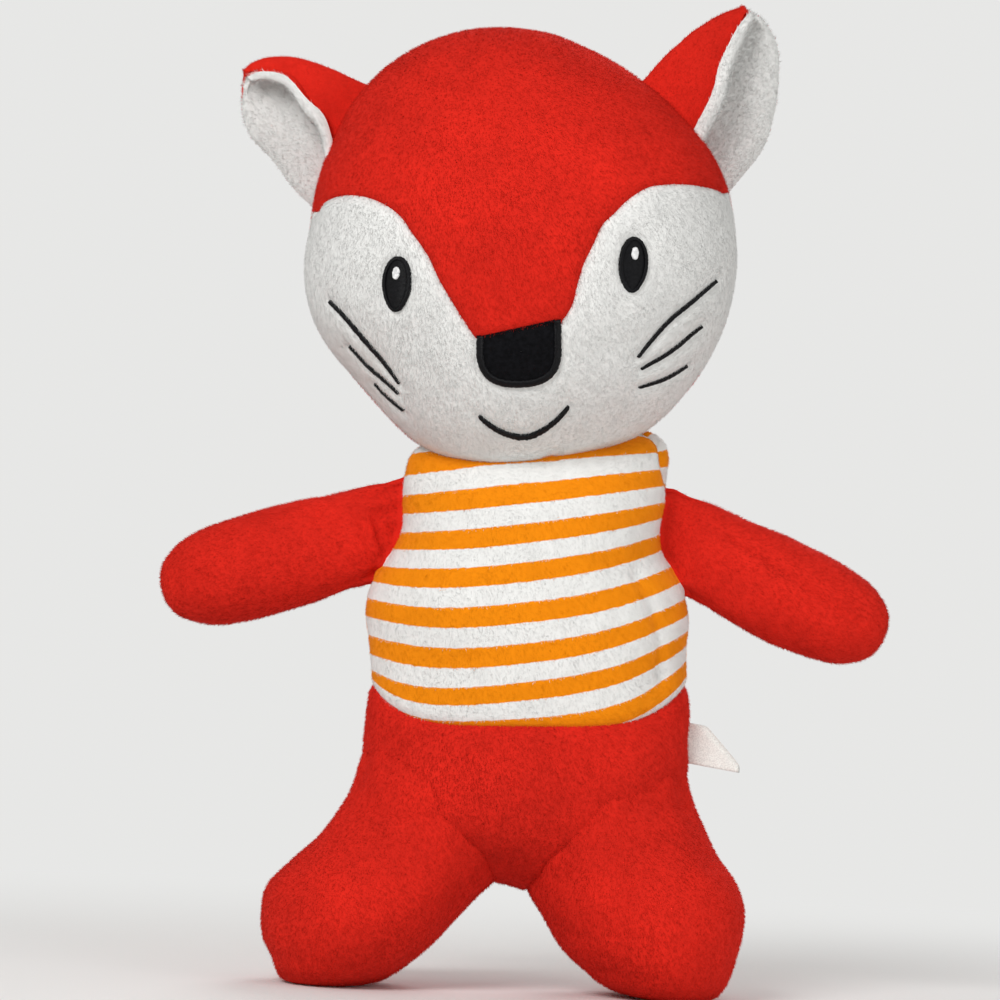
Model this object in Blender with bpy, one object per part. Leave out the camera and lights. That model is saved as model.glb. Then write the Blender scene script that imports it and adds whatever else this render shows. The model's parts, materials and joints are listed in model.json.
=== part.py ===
"""Plush fox, about 45 cm tall: stuffing forms, the sewn panels over them, and embroidery.

Metres, +Z up. The fox stands on its soles on Z = 0 and looks along -Y.
Left and right are the viewer's, seen from the front.
"""

import math

import bmesh
import bpy
import numpy as np
from mathutils import Matrix, Vector
from mathutils.geometry import delaunay_2d_cdt

MM = 0.001

# Cloth and seams
SKIN = 1.8 * MM  # thickness of the backed plush cloth
GAP = 0.3 * MM  # clearance between neighbouring pieces
MERGE = 0.001 * MM  # points closer than this are one point
SMOOTH_ANGLE = math.radians(50)

# Torso: a pillow whose lower edge is a V between the hips
TORSO_BOTTOM = 47 * MM  # height of the crotch above the floor
TORSO_HEIGHT = 205 * MM  # crotch to the top of the shoulders, along the middle
TORSO_HALF_WIDTH = 73.5 * MM
TORSO_HALF_DEPTH = 49 * MM
TORSO_MIDDLE_X = 1 * MM
HIP_RISE = 46 * MM  # how much higher the V ends at the hips than at the crotch
RISE_POWER = 1.6
# rows of: height, width, depth, rise and sideways shift shares, and slope to the side
TORSO_SHARES = [
    (0.000, 0.94, 0.00, 1.00, 0.00, -0.02),
    (0.014, 0.96, 0.33, 1.00, 0.00, -0.02),
    (0.050, 0.98, 0.60, 0.95, 0.00, -0.01),
    (0.113, 0.99, 0.83, 0.80, 0.00, 0.00),
    (0.199, 1.00, 0.93, 0.60, 0.00, 0.04),
    (0.274, 1.00, 0.95, 0.46, 0.00, 0.07),
    (0.348, 0.985, 0.95, 0.35, 0.00, 0.094),
    (0.429, 0.97, 0.96, 0.28, 0.00, 0.10),
    (0.513, 0.985, 0.98, 0.24, -0.01, 0.105),
    (0.595, 0.97, 1.00, 0.21, -0.05, 0.11),
    (0.669, 0.89, 0.99, 0.16, -0.09, 0.125),
    (0.731, 0.82, 0.97, 0.11, -0.04, 0.13),
    (0.796, 0.80, 0.92, 0.06, 0.00, 0.13),
    (0.864, 0.80, 0.84, 0.02, 0.00, 0.12),
    (0.917, 0.80, 0.70, 0.00, 0.00, 0.11),
    (0.960, 0.79, 0.48, 0.00, 0.00, 0.09),
    (0.989, 0.77, 0.22, 0.00, 0.00, 0.08),
    (1.000, 0.75, 0.00, 0.00, 0.00, 0.08),
]
PANTS_ROW_COUNT = 6  # rows of the table up to where the pants end and the shirt begins
TORSO_SEGMENTS = 28

# Head: a round pillow, front and back halves sewn along the outline
HEAD_RADIUS = 97 * MM
HEAD_FRONT_DEPTH = 80 * MM
HEAD_BACK_DEPTH = 72 * MM
HEAD_SIDEWAYS = -5 * MM  # from the middle of the neck
NECK_IN_HEAD = 2 * MM  # how far the middle of the neck is inside the head's radius
HEAD_FULLNESS = 2.2  # 2 is an ellipsoid, more is boxier
# radius shares from the top of the head round by the viewer's right
HEAD_OUTLINE_SHARES = [
    0.99, 0.935, 0.93, 0.98, 1.0, 1.025, 1.045, 1.035,
    1.037, 1.02, 0.985, 1.0, 0.99, 0.995, 1.015, 1.01,
]
HEAD_SEGMENTS = 36
HEAD_ROWS_PER_HALF = 9

# Neck: a ball of stuffing in the open seam between head and torso
NECK_RADIUS = 20 * MM
NECK_SIDEWAYS = -7 * MM  # from the middle of the torso
NECK_BACK = 3 * MM
NECK_BELOW_TOP = 10 * MM  # below the top of the torso
NECK_PLAY = 0.7 * MM  # clearance of the neck in the head, as it nods
NECK_SEGMENTS = 20
NECK_ROWS = 9
NOD_LIMITS = (-10, 10)
TURN_LIMITS = (-15, 15)

# Arms: pinched flat at the side seam, round in the middle
ARM_HALF_HEIGHT = 24 * MM
ARM_HALF_DEPTH = 22 * MM
LEFT_ARM_LENGTH = 111 * MM
RIGHT_ARM_LENGTH = 107 * MM
LEFT_ARM_DROOP = math.radians(18)
RIGHT_ARM_DROOP = math.radians(22.7)
# shoulders as shares of the torso's half width and height
LEFT_SHOULDER_SHARES = (-0.844, 0.776)
RIGHT_SHOULDER_SHARES = (0.83, 0.78)
# rows of: length, height and depth shares; what is before 0 is cut off at the torso
ARM_SHARES = [
    (-0.16, 0.00, 0.00),
    (-0.11, 0.78, 0.20),
    (0.01, 0.86, 0.20),
    (0.10, 0.90, 0.48),
    (0.22, 0.93, 0.74),
    (0.42, 1.00, 0.96),
    (0.64, 0.98, 1.00),
    (0.82, 0.88, 0.90),
    (0.93, 0.64, 0.64),
    (0.98, 0.36, 0.36),
    (1.00, 0.00, 0.00),
]
ARM_EMPTY_ROW_COUNT = 3  # rows of the table before the stuffing starts
ARM_SEGMENTS = 16
LEFT_SEAM_LEAN = math.radians(13)  # the side seams lean in towards the neck
RIGHT_SEAM_LEAN = math.radians(3)
ARM_LIMITS = (-40, 40)

# Legs: short stumps that end in round feet
LEG_HEIGHT = 114 * MM
LEG_HALF_WIDTH = 48.5 * MM
LEG_HALF_DEPTH = 48.5 * MM
LEG_ROOT_SHARE = 0.537  # of the torso's half width, from its middle
LEFT_FOOT_SPREAD = 45.5 * MM  # from the leg's root out to the foot
RIGHT_FOOT_SPREAD = 31.5 * MM
FOOT_FORWARD = 7 * MM
SOLE_CUT = 0.5 * MM  # the round sole is cut flat by this much
# rows of: height, width and depth shares, and how far the middle has moved to the foot,
# for the left leg and for the right leg
LEG_SHARES = [
    (0.000, 0.00, 0.00, 1.00, 1.00),
    (0.0045, 0.35, 0.43, 1.00, 1.00),
    (0.050, 0.565, 0.69, 0.91, 0.86),
    (0.110, 0.69, 0.83, 0.845, 0.77),
    (0.180, 0.81, 0.93, 0.80, 0.66),
    (0.270, 0.905, 0.99, 0.72, 0.58),
    (0.370, 0.98, 1.00, 0.585, 0.47),
    (0.470, 0.955, 0.95, 0.39, 0.37),
    (0.580, 0.88, 0.89, 0.19, 0.20),
    (0.700, 0.82, 0.82, 0.06, 0.07),
    (0.820, 0.72, 0.74, 0.00, 0.00),
    (0.930, 0.56, 0.58, 0.00, 0.00),
    (1.000, 0.00, 0.00, 0.00, 0.00),
]
LEG_SEGMENTS = 18
HIP_AXIS_DEPTH = 20 * MM  # how far inside the torso's lower edge a leg pivots
LEG_LIMITS = (-15, 15)
LEG_CLEARED_SHARES = (-1, -0.5, 0, 0.5, 1)  # the shares of its swing that a leg is cut for
ARM_CLEARED_SHARES = (-1, 0, 1)

# Ears: folded lengthwise, a red back piece and a white lining
EAR_CLOTH = 1.8 * MM
EAR_FOLD_DEPTH = 15 * MM  # from the fold to each free edge, front to back
LEFT_EAR_LENGTH = 55 * MM
RIGHT_EAR_LENGTH = 60 * MM
EAR_BACK = 2 * MM  # how far the fold is behind the head's middle
# ears' bases from the middle of the head, as shares of its radius
LEFT_EAR_BASE_SHARES = (-0.866, 0.412)
RIGHT_EAR_BASE_SHARES = (0.763, 0.536)
LEFT_EAR_LEAN = math.radians(147)  # from the viewer's right, in the front view
RIGHT_EAR_LEAN = math.radians(66)
# rows from root to tip, in the front view from the base as shares of the ear's length:
# the fold, the front wall's free edge, the back wall's free edge, and the depth share
LEFT_EAR_SHARES = [
    ((0.18, 0.47), (-0.03, -0.03), (-0.18, -0.53), 1.0),
    ((-0.05, 0.56), (-0.12, 0.21), (-0.36, -0.37), 1.0),
    ((-0.31, 0.66), (-0.27, 0.35), (-0.54, -0.15), 0.9),
    ((-0.55, 0.69), (-0.45, 0.53), (-0.73, 0.05), 0.75),
    ((-0.73, 0.65), (-0.66, 0.585), (-0.80, 0.28), 0.55),
    ((-0.80, 0.57), (-0.78, 0.56), (-0.81, 0.50), 0.3),
]
RIGHT_EAR_SHARES = [
    ((-0.37, 0.33), (0.02, 0.03), (0.35, -0.37), 1.0),
    ((-0.20, 0.54), (0.14, 0.30), (0.55, -0.09), 1.0),
    ((-0.02, 0.72), (0.18, 0.50), (0.63, 0.19), 0.9),
    ((0.16, 0.85), (0.25, 0.68), (0.65, 0.48), 0.75),
    ((0.27, 0.92), (0.31, 0.82), (0.62, 0.72), 0.55),
    ((0.36, 0.965), (0.38, 0.95), (0.49, 0.915), 0.3),
]
EAR_ROOT_SHARE = 0.30  # the root runs this far into the head before it is cut
EAR_ACROSS = 10
EAR_LIMITS = (-20, 20)

# Face: places are across and up from the middle of the head, as shares of its radius
CROWN_EDGE_SHARES = [
    (-1.3, -0.04),
    (-0.99, 0.076),
    (-0.923, 0.135),
    (-0.831, 0.158),
    (-0.728, 0.148),
    (-0.633, 0.111),
    (-0.562, 0.059),
    (-0.507, -0.013),
    (-0.428, -0.116),
    (-0.372, -0.221),
    (-0.293, -0.342),
    (-0.185, -0.464),
    (0.196, -0.367),
    (0.249, -0.308),
    (0.264, -0.229),
    (0.288, -0.13),
    (0.33, -0.031),
    (0.367, 0.059),
    (0.42, 0.117),
    (0.478, 0.18),
    (0.563, 0.243),
    (0.645, 0.267),
    (0.775, 0.281),
    (0.882, 0.277),
    (0.957, 0.258),
    (1.3, 0.16),
]
MOUTH_TILT = math.radians(7.9)  # the head leans to the viewer's left
NOSE_TILT = math.radians(3)
EYE_TILT = math.radians(-1)
STITCH_LOW = 0.4 * MM  # embroidery starts this far off the cloth's smooth face
STITCH_HIGH = 1.3 * MM
BORDER_HIGH = 1.9 * MM
SHINE_LOW = 1.6 * MM
SHINE_HIGH = 2.2 * MM
PATCH_STEP = 9 * MM
STITCH_STEP = 7 * MM
EYE_HALF_WIDTH = 6.6 * MM
EYE_HALF_HEIGHT = 12.4 * MM
EYE_POINT_SHARE = 0.12
SHINE_HALF_WIDTH = 2 * MM
SHINE_HALF_HEIGHT = 3 * MM
SHINE_RISE = 4.6 * MM
LEFT_EYE_SHARES = (-0.562, -0.230)
RIGHT_EYE_SHARES = (0.528, -0.092)
NOSE_HALF_WIDTH = 19 * MM
NOSE_HEIGHT = 26 * MM
NOSE_ROUND = 17 * MM  # the height of its rounded lower part
NOSE_FULLNESS = 2.7  # 2 is an ellipse, more is boxier
NOSE_TOP_SHARES = (0.006, -0.414)
NOSE_TOP_RISE = 3.4 * MM  # the nose's top edge is this much higher at one corner
NOSE_BORDER = 3.8 * MM
MOUTH_WIDTH = 2.6 * MM
MOUTH_HALF_LENGTH = 20 * MM
MOUTH_SAG = 11 * MM
MOUTH_MIDDLE_SHARES = (0.062, -0.909)
WHISKER_WIDTH = 1.8 * MM
# whiskers as shares of the head's radius: start, bend and end, seen from the front
WHISKER_SHARES = {
    "left_whisker_upper": [(-0.88, -0.33), (-0.72, -0.50), (-0.57, -0.69)],
    "left_whisker_middle": [(-0.80, -0.53), (-0.69, -0.64), (-0.57, -0.74)],
    "left_whisker_lower": [(-0.70, -0.70), (-0.64, -0.75), (-0.55, -0.81)],
    "right_whisker_upper": [(0.91, -0.14), (0.69, -0.34), (0.57, -0.49)],
    "right_whisker_middle": [(0.86, -0.34), (0.71, -0.48), (0.60, -0.57)],
    "right_whisker_lower": [(0.80, -0.53), (0.69, -0.60), (0.57, -0.66)],
}
WHISKER_STEPS = 6

# Care label: a blank ribbon in the side seam at the hip
LABEL_LENGTH = 30 * MM
LABEL_SEWN_IN = 5 * MM  # the length before the seam, cut off at the torso
LABEL_WIDTH = 18 * MM
LABEL_THICKNESS = 0.6 * MM
LABEL_ROOT_SHARES = (1.0, 0.33)  # of the torso's half width and height
LABEL_DROP = math.radians(20)
LABEL_CURL = 3 * MM
LABEL_STEPS = 6
LABEL_LIMITS = (-40, 40)

CENTRING = (3.5 * MM, 4 * MM, 0)  # brings the middle of the whole fox over the origin
OVERRUN = 60 * MM  # cutters pass what they cut by this much

COLOURS = {
    "red_plush": ((0.66, 0.018, 0.010), 0.9),
    "white_plush": ((0.78, 0.78, 0.76), 0.9),
    "shirt_plush": ((0.80, 0.62, 0.42), 0.9),
    "black_velvet": ((0.010, 0.010, 0.012), 0.85),
    "black_thread": ((0.008, 0.008, 0.010), 0.45),
    "white_thread": ((0.85, 0.85, 0.85), 0.4),
    "stuffing": ((0.85, 0.85, 0.83), 1.0),
    "label_tape": ((0.80, 0.80, 0.77), 0.6),
}


def smooth(places, values, at):
    """Read a smooth curve through values given at places."""
    places = np.asarray(places, float)
    values = np.asarray(values, float)
    at = np.asarray(at, float)
    slopes = np.gradient(values, places)
    i = np.clip(np.searchsorted(places, at, side="right") - 1, 0, len(places) - 2)
    step = places[i + 1] - places[i]
    s = (at - places[i]) / step
    rise = (3 - 2 * s) * s * s
    return (
        values[i] * (1 - rise)
        + values[i + 1] * rise
        + step * s * (1 - s) * ((1 - s) * slopes[i] - s * slopes[i + 1])
    )


def grid_normals(grid, closed):
    """Outward normals of a grid of points, shared where points coincide."""
    beside = np.roll(grid, -1, axis=1) if closed else grid[:, 1:]
    own = grid if closed else grid[:, :-1]
    across = np.cross(beside[1:] - own[:-1], own[1:] - beside[:-1])
    total = np.zeros_like(grid)
    columns = own.shape[1]
    here = np.arange(columns)
    there = (here + 1) % grid.shape[1]
    for rows in (slice(0, -1), slice(1, None)):
        for cols in (here, there):
            part = np.zeros_like(grid)
            part[rows, cols] = across
            total += part
    flat = grid.reshape(-1, 3)
    keys = np.round(flat / MERGE).astype(np.int64)
    owner = np.unique(keys, axis=0, return_inverse=True)[1].reshape(-1)
    merged = np.zeros((owner.max() + 1, 3))
    np.add.at(merged, owner, total.reshape(-1, 3))
    merged /= np.maximum(np.linalg.norm(merged, axis=1, keepdims=True), MERGE * MERGE)
    return merged[owner].reshape(grid.shape)


def on_torso(across, up):
    """A place in the torso's middle plane, as shares of its half width and height."""
    x = TORSO_MIDDLE_X + TORSO_HALF_WIDTH * across
    return (x, 0, TORSO_BOTTOM + TORSO_HEIGHT * up)


NECK_MIDDLE = (
    TORSO_MIDDLE_X + NECK_SIDEWAYS,
    NECK_BACK,
    TORSO_BOTTOM + TORSO_HEIGHT - NECK_BELOW_TOP,
)
HEAD_MIDDLE = (
    NECK_MIDDLE[0] + HEAD_SIDEWAYS,
    0,
    NECK_MIDDLE[2] + HEAD_RADIUS - NECK_IN_HEAD,
)


class Form:
    """A closed stuffed form: rings of points from one end to the other."""

    def __init__(self, rings):
        self.rings = np.array(rings)
        self.normals = grid_normals(self.rings, True)

    def inset(self, depth):
        return self.rings - self.normals * depth


def ring(middle, first, second, around):
    """An ellipse about a middle, turning from the first half axis to the second."""
    turn = np.arange(around) * 2 * math.pi / around
    return (
        np.asarray(middle)
        + np.outer(np.cos(turn), np.asarray(first))
        + np.outer(np.sin(turn), np.asarray(second))
    )


def torso_form():
    rings = []
    for height, width, depth, rise, shift, slope in TORSO_SHARES:
        half_width = TORSO_HALF_WIDTH * width
        half_depth = TORSO_HALF_DEPTH * depth
        middle_x = TORSO_MIDDLE_X + TORSO_HALF_WIDTH * shift
        middle = (middle_x, 0, TORSO_BOTTOM + TORSO_HEIGHT * height)
        points = ring(middle, (half_width, 0, 0), (0, half_depth, 0), TORSO_SEGMENTS)
        across = points[:, 0] - middle_x
        bend = np.abs(across / half_width) ** RISE_POWER
        points[:, 2] += HIP_RISE * rise * bend + slope * across
        rings.append(points)
    return Form(rings)


def head_radius(angle):
    """Radius of the head's outline at an angle from the top, round by the viewer's right."""
    count = len(HEAD_OUTLINE_SHARES)
    places = np.arange(-2, count + 3) * 2 * math.pi / count
    shares = [HEAD_OUTLINE_SHARES[i % count] for i in range(-2, count + 3)]
    return HEAD_RADIUS * smooth(places, shares, np.mod(angle, 2 * math.pi))


def head_form():
    rings = []
    rows = 2 * HEAD_ROWS_PER_HALF
    turn = np.arange(HEAD_SEGMENTS) * 2 * math.pi / HEAD_SEGMENTS
    radius = head_radius(turn)
    for row in range(rows + 1):
        angle = math.pi * row / rows
        share = max(math.sin(angle), 0) ** (2 / HEAD_FULLNESS) if 0 < row < rows else 0
        cosine = math.cos(angle)
        depth = HEAD_FRONT_DEPTH if cosine > 0 else HEAD_BACK_DEPTH
        forward = math.copysign(abs(cosine) ** (2 / HEAD_FULLNESS), cosine) * depth
        if row == HEAD_ROWS_PER_HALF:
            forward = 0
        points = np.zeros((HEAD_SEGMENTS, 3))
        points[:, 0] = HEAD_MIDDLE[0] + radius * share * np.sin(turn)
        points[:, 1] = HEAD_MIDDLE[1] - forward
        points[:, 2] = HEAD_MIDDLE[2] + radius * share * np.cos(turn)
        rings.append(points)
    return Form(rings)


def neck_form():
    rings = []
    for row in range(NECK_ROWS + 1):
        angle = math.pi * row / NECK_ROWS
        radius = NECK_RADIUS * math.sin(angle) if 0 < row < NECK_ROWS else 0
        middle = Vector(NECK_MIDDLE) - Vector((0, 0, NECK_RADIUS * math.cos(angle)))
        rings.append(ring(middle, (radius, 0, 0), (0, radius, 0), NECK_SEGMENTS))
    return Form(rings)


def arm_form(shoulder, length, droop, side):
    """An arm that points to the side, -1 or 1, and droops."""
    along = Vector((side * math.cos(droop), 0, -math.sin(droop)))
    upward = Vector((side * math.sin(droop), 0, math.cos(droop)))
    outward = along.cross(upward)
    rings = []
    for place, height, depth in ARM_SHARES:
        middle = Vector(shoulder) + along * (length * place)
        first = upward * (ARM_HALF_HEIGHT * height)
        second = outward * (ARM_HALF_DEPTH * depth)
        rings.append(ring(middle, first, second, ARM_SEGMENTS))
    return Form(rings)


def leg_form(foot_x, root_x, side):
    rings = []
    for place, width, depth, left_moved, right_moved in LEG_SHARES:
        moved = left_moved if side < 0 else right_moved
        middle = (
            root_x + (foot_x - root_x) * moved,
            -FOOT_FORWARD * moved,
            LEG_HEIGHT * place - SOLE_CUT,
        )
        first = (LEG_HALF_WIDTH * width, 0, 0)
        second = (0, LEG_HALF_DEPTH * depth, 0)
        rings.append(ring(middle, first, second, LEG_SEGMENTS))
    return Form(rings)


def ear_grid(base, length, shares):
    """The middle layer of an ear: rows from root to tip, columns from front to back edge."""
    rows = []
    for fold, front, back, depth in shares:
        points = []
        for j in range(EAR_ACROSS + 1):
            place = 2 * j / EAR_ACROSS - 1
            edge = np.asarray(front if place < 0 else back)
            flat = np.asarray(fold) + (edge - np.asarray(fold)) * place**2
            y = base[1] + EAR_FOLD_DEPTH * depth * place
            points.append((base[0] + length * flat[0], y, base[2] + length * flat[1]))
        rows.append(points)
    grid = np.array(rows)
    inward = grid[:1] - grid[1:2]
    inward *= length * EAR_ROOT_SHARE / np.linalg.norm(inward, axis=2, keepdims=True)
    return np.concatenate([grid[:1] + inward, grid])


def material(name):
    colour, roughness = COLOURS[name]
    made = bpy.data.materials.get(name)
    if made is None:
        made = bpy.data.materials.new(name)
        made.use_nodes = True
        shader = made.node_tree.nodes["Principled BSDF"]
        shader.inputs["Base Color"].default_value = (*colour, 1)
        shader.inputs["Roughness"].default_value = roughness
        shader.inputs["Metallic"].default_value = 0
        made.diffuse_color = (*colour, 1)
    return made


def pivot(name, place, parent):
    """An empty on a joint's axis; place is in the model's frame."""
    empty = bpy.data.objects.new(name, None)
    bpy.context.collection.objects.link(empty)
    empty.parent = parent
    origin = Vector(parent["place"]) if parent else Vector()
    empty.location = Vector(place) - origin
    empty["place"] = tuple(place)
    return empty


def add_object(name, points, faces, finish, parent):
    """A mesh from points in the model's frame, hung on a pivot."""
    mesh = bpy.data.meshes.new(name)
    shape = bmesh.new()
    vertices = [shape.verts.new(point) for point in points]
    for face in faces:
        corners = list(dict.fromkeys(face))
        if len(corners) > 2:
            shape.faces.new([vertices[i] for i in corners])
    bmesh.ops.remove_doubles(shape, verts=shape.verts, dist=MERGE)
    bmesh.ops.dissolve_degenerate(shape, dist=MERGE, edges=shape.edges)
    bmesh.ops.triangulate(shape, faces=shape.faces)
    loose = [vertex for vertex in shape.verts if not vertex.link_faces]
    bmesh.ops.delete(shape, geom=loose, context="VERTS")
    bmesh.ops.translate(shape, verts=shape.verts, vec=-Vector(parent["place"]))
    shape.to_mesh(mesh)
    shape.free()
    made = bpy.data.objects.new(name, mesh)
    bpy.context.collection.objects.link(made)
    made.parent = parent
    if finish:
        mesh.materials.append(material(finish))
        mesh.shade_smooth()
        mesh.set_sharp_from_angle(angle=SMOOTH_ANGLE)
    return made


def strip(first, second):
    """Faces between two rows of point numbers; their front is on the left of the rows."""
    return [
        (first[k], first[k + 1], second[k + 1], second[k]) for k in range(len(first) - 1)
    ]


def add_solid(name, grid, finish, parent):
    """A closed solid from rings whose ends are points or flat lines."""
    rows, around = grid.shape[:2]
    faces = []
    for i in range(rows - 1):
        low = [i * around + j % around for j in range(around + 1)]
        high = [(i + 1) * around + j % around for j in range(around + 1)]
        faces += strip(low, high)
    return add_object(name, grid.reshape(-1, 3), faces, finish, parent)


def add_shell(name, outer, inner, finish, parent, walls=(0, 1, 2, 3)):
    """A closed sheet of cloth between two grids of points, with walls at its open edges."""
    rows, columns = outer.shape[:2]
    count = rows * columns
    faces = []
    for i in range(rows - 1):
        low = [i * columns + j for j in range(columns)]
        high = [(i + 1) * columns + j for j in range(columns)]
        faces += strip(low, high)
        faces += strip([count + k for k in high], [count + k for k in low])
    edges = [
        [j for j in range(columns)],
        [i * columns + columns - 1 for i in range(rows)],
        [(rows - 1) * columns + j for j in reversed(range(columns))],
        [i * columns for i in reversed(range(rows))],
    ]
    for wall in walls:
        edge = edges[wall]
        faces += strip([count + k for k in edge], edge)
    points = np.concatenate([outer.reshape(-1, 3), inner.reshape(-1, 3)])
    return add_object(name, points, faces, finish, parent)


def pulled_in(grid, side):
    """Move one edge of a grid half a seam's gap towards its own middle."""
    edge, beside = {
        "start": ((0,), (1,)),
        "end": ((-1,), (-2,)),
        "left": ((slice(None), 0), (slice(None), 1)),
        "right": ((slice(None), -1), (slice(None), -2)),
    }[side]
    inward = grid[beside] - grid[edge]
    length = np.linalg.norm(inward, axis=-1, keepdims=True)
    moved = grid.copy()
    moved[edge] += np.where(length > GAP, inward / np.maximum(length, MERGE) * GAP / 2, 0)
    return moved


def add_panel(name, form, rows, columns, sides, finish, parent):
    """The cloth over a stretch of a form, pulled in at the named sides."""
    wanted = [j % form.rings.shape[1] for j in range(columns[0], columns[1] + 1)]
    grids = []
    for depth in (0, SKIN):
        grid = form.inset(depth)[rows[0] : rows[1] + 1][:, wanted]
        for side in sides:
            grid = pulled_in(grid, side)
        grids.append(grid)
    return add_shell(name, grids[0], grids[1], finish, parent)


def add_cap(name, form, rows, side, finish, parent):
    """The cloth over one end of a form, all the way round."""
    around = form.rings.shape[1]
    columns = [j % around for j in range(around + 1)]
    grids = []
    for depth in (0, SKIN):
        grid = pulled_in(form.inset(depth)[rows[0] : rows[1] + 1], side)
        grids.append(grid[:, columns])
    return add_shell(name, grids[0], grids[1], finish, parent, walls=(0, 2))


def cut(target, cutter):
    """Take a hidden cutter's space out of a piece."""
    change = target.modifiers.new("cut by " + cutter.name, "BOOLEAN")
    change.operation = "DIFFERENCE"
    change.solver = "EXACT"
    change.object = cutter


def keep_inside(target, cutter):
    change = target.modifiers.new("kept inside " + cutter.name, "BOOLEAN")
    change.operation = "INTERSECT"
    change.solver = "EXACT"
    change.object = cutter


def hidden(made):
    made.hide_render = True
    made.display_type = "WIRE"
    return made


def turned_cutter(name, form, parent, place, turns, clearance=GAP):
    """A form grown by a clearance and turned about a place, to clear a motion."""
    made = hidden(add_solid(name, form.inset(-clearance), None, parent))
    spin = Matrix.Identity(4)
    for axis, degrees in turns:
        spin = spin @ Matrix.Rotation(math.radians(degrees), 4, Vector(axis))
    to_place = Vector(place) - Vector(parent["place"])
    made.matrix_local = Matrix.Translation(to_place) @ spin @ Matrix.Translation(-to_place)
    return made


def prism(name, outline, near, far, parent):
    """A closed block with an outline in the front view, from one depth to another."""
    count = len(outline)
    points = [(x, near, z) for x, z in outline] + [(x, far, z) for x, z in outline]
    faces = [tuple(range(count)), tuple(reversed(range(count, 2 * count)))]
    for k in range(count):
        after = (k + 1) % count
        faces.append((after, k, count + k, count + after))
    made = hidden(add_object(name, points, faces, None, parent))
    shape = bmesh.new()
    shape.from_mesh(made.data)
    bmesh.ops.recalc_face_normals(shape, faces=shape.faces)
    shape.to_mesh(made.data)
    shape.free()
    return made


def offset_line(line, distance):
    """A line moved to its left by a distance, corner by corner."""
    line = np.asarray(line, float)
    steps = np.diff(line, axis=0)
    lefts = np.stack([-steps[:, 1], steps[:, 0]], axis=1)
    lefts /= np.linalg.norm(lefts, axis=1, keepdims=True)
    before = np.concatenate([lefts[:1], lefts])
    after = np.concatenate([lefts, lefts[-1:]])
    both = before + after
    both /= np.maximum((both * before).sum(axis=1, keepdims=True), MM)
    return line + both * distance


def divided(loop, step):
    """A closed line with points added so that none of its steps is longer than step."""
    points = []
    for here, there in zip(loop, loop[1:] + loop[:1]):
        span = Vector(there) - Vector(here)
        count = max(math.ceil(span.length / step), 1)
        points += [tuple(Vector(here) + span * (k / count)) for k in range(count)]
    return points


def face_depth(x, z):
    """Depth of the head's front face at a place in the front view."""
    across = x - HEAD_MIDDLE[0]
    up = z - HEAD_MIDDLE[2]
    share = np.hypot(across, up) / head_radius(np.arctan2(across, up))
    share = np.minimum(share, 1)
    bulge = (1 - share**HEAD_FULLNESS) ** (1 / HEAD_FULLNESS)
    return HEAD_MIDDLE[1] - HEAD_FRONT_DEPTH * bulge


def raised(points, height):
    """Places in the front view, put on the head's front face and raised off it."""
    points = np.asarray(points, float)
    x, z = points[:, 0], points[:, 1]
    step = 0.1 * MM
    depth = face_depth(x, z)
    slope_x = (face_depth(x + step, z) - face_depth(x - step, z)) / (2 * step)
    slope_z = (face_depth(x, z + step) - face_depth(x, z - step)) / (2 * step)
    normal = np.stack([slope_x, -np.ones_like(x), slope_z], axis=1)
    normal /= np.linalg.norm(normal, axis=1, keepdims=True)
    return np.stack([x, depth, z], axis=1) + normal * height


def on_head(shares):
    """A place in the front view, from shares of the head's radius across and up."""
    return (HEAD_MIDDLE[0] + HEAD_RADIUS * shares[0], HEAD_MIDDLE[2] + HEAD_RADIUS * shares[1])


def tilted(place, middle, tilt):
    """A place turned to the left by a tilt in the front view and put about a middle."""
    cosine, sine = math.cos(tilt), math.sin(tilt)
    return (
        middle[0] + place[0] * cosine - place[1] * sine,
        middle[1] + place[0] * sine + place[1] * cosine,
    )


def add_patch(name, outline, low, high, finish, parent):
    """Embroidery that fills an outline in the front view."""
    outline = np.asarray(outline, float)
    count = len(outline)
    corner, far = outline.min(axis=0), outline.max(axis=0)
    seeds = [tuple(point) for point in outline]
    steps = np.maximum(np.round((far - corner) / PATCH_STEP).astype(int), 1)
    for i in range(1, steps[0]):
        for j in range(1, steps[1]):
            seeds.append(tuple(corner + (far - corner) * (i / steps[0], j / steps[1])))
    loop = [(k, (k + 1) % count) for k in range(count)]
    found = delaunay_2d_cdt([Vector(seed) for seed in seeds], loop, [], 1, MERGE)
    places = np.array([tuple(point) for point in found[0]])
    total = len(places)
    faces = []
    used = {}
    for triangle in found[2]:
        a, b, c = triangle
        faces.append((a, b, c))
        faces.append((total + a, total + c, total + b))
        for pair in ((a, b), (b, c), (c, a)):
            used[pair] = used.get(pair, 0) + 1
    for a, b in used:
        if (b, a) not in used:
            faces.append((b, a, total + a, total + b))
    points = np.concatenate([raised(places, high), raised(places, low)])
    return add_object(name, points, faces, finish, parent)


def add_line(name, line, width, low, high, finish, parent, closed=False):
    """A raised line of satin stitch along a line in the front view."""
    line = np.asarray(line, float)
    if closed:
        looped = np.concatenate([line[-1:], line, line[:1]])
        left = offset_line(looped, width / 2)[1:-1]
        right = offset_line(looped, -width / 2)[1:-1]
        left = np.concatenate([left, left[:1]])
        right = np.concatenate([right, right[:1]])
    else:
        left = offset_line(line, width / 2)
        right = offset_line(line, -width / 2)
    outer = np.stack([raised(left, high), raised(right, high)], axis=1)
    inner = np.stack([raised(left, low), raised(right, low)], axis=1)
    walls = (1, 3) if closed else (0, 1, 2, 3)
    return add_shell(name, outer, inner, finish, parent, walls)


def stuffing(form, row_step, column_step):
    """The filling just under the cloth, with some of the cloth's rows and columns."""
    return form.inset(SKIN + GAP)[::row_step, ::column_step]


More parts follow.
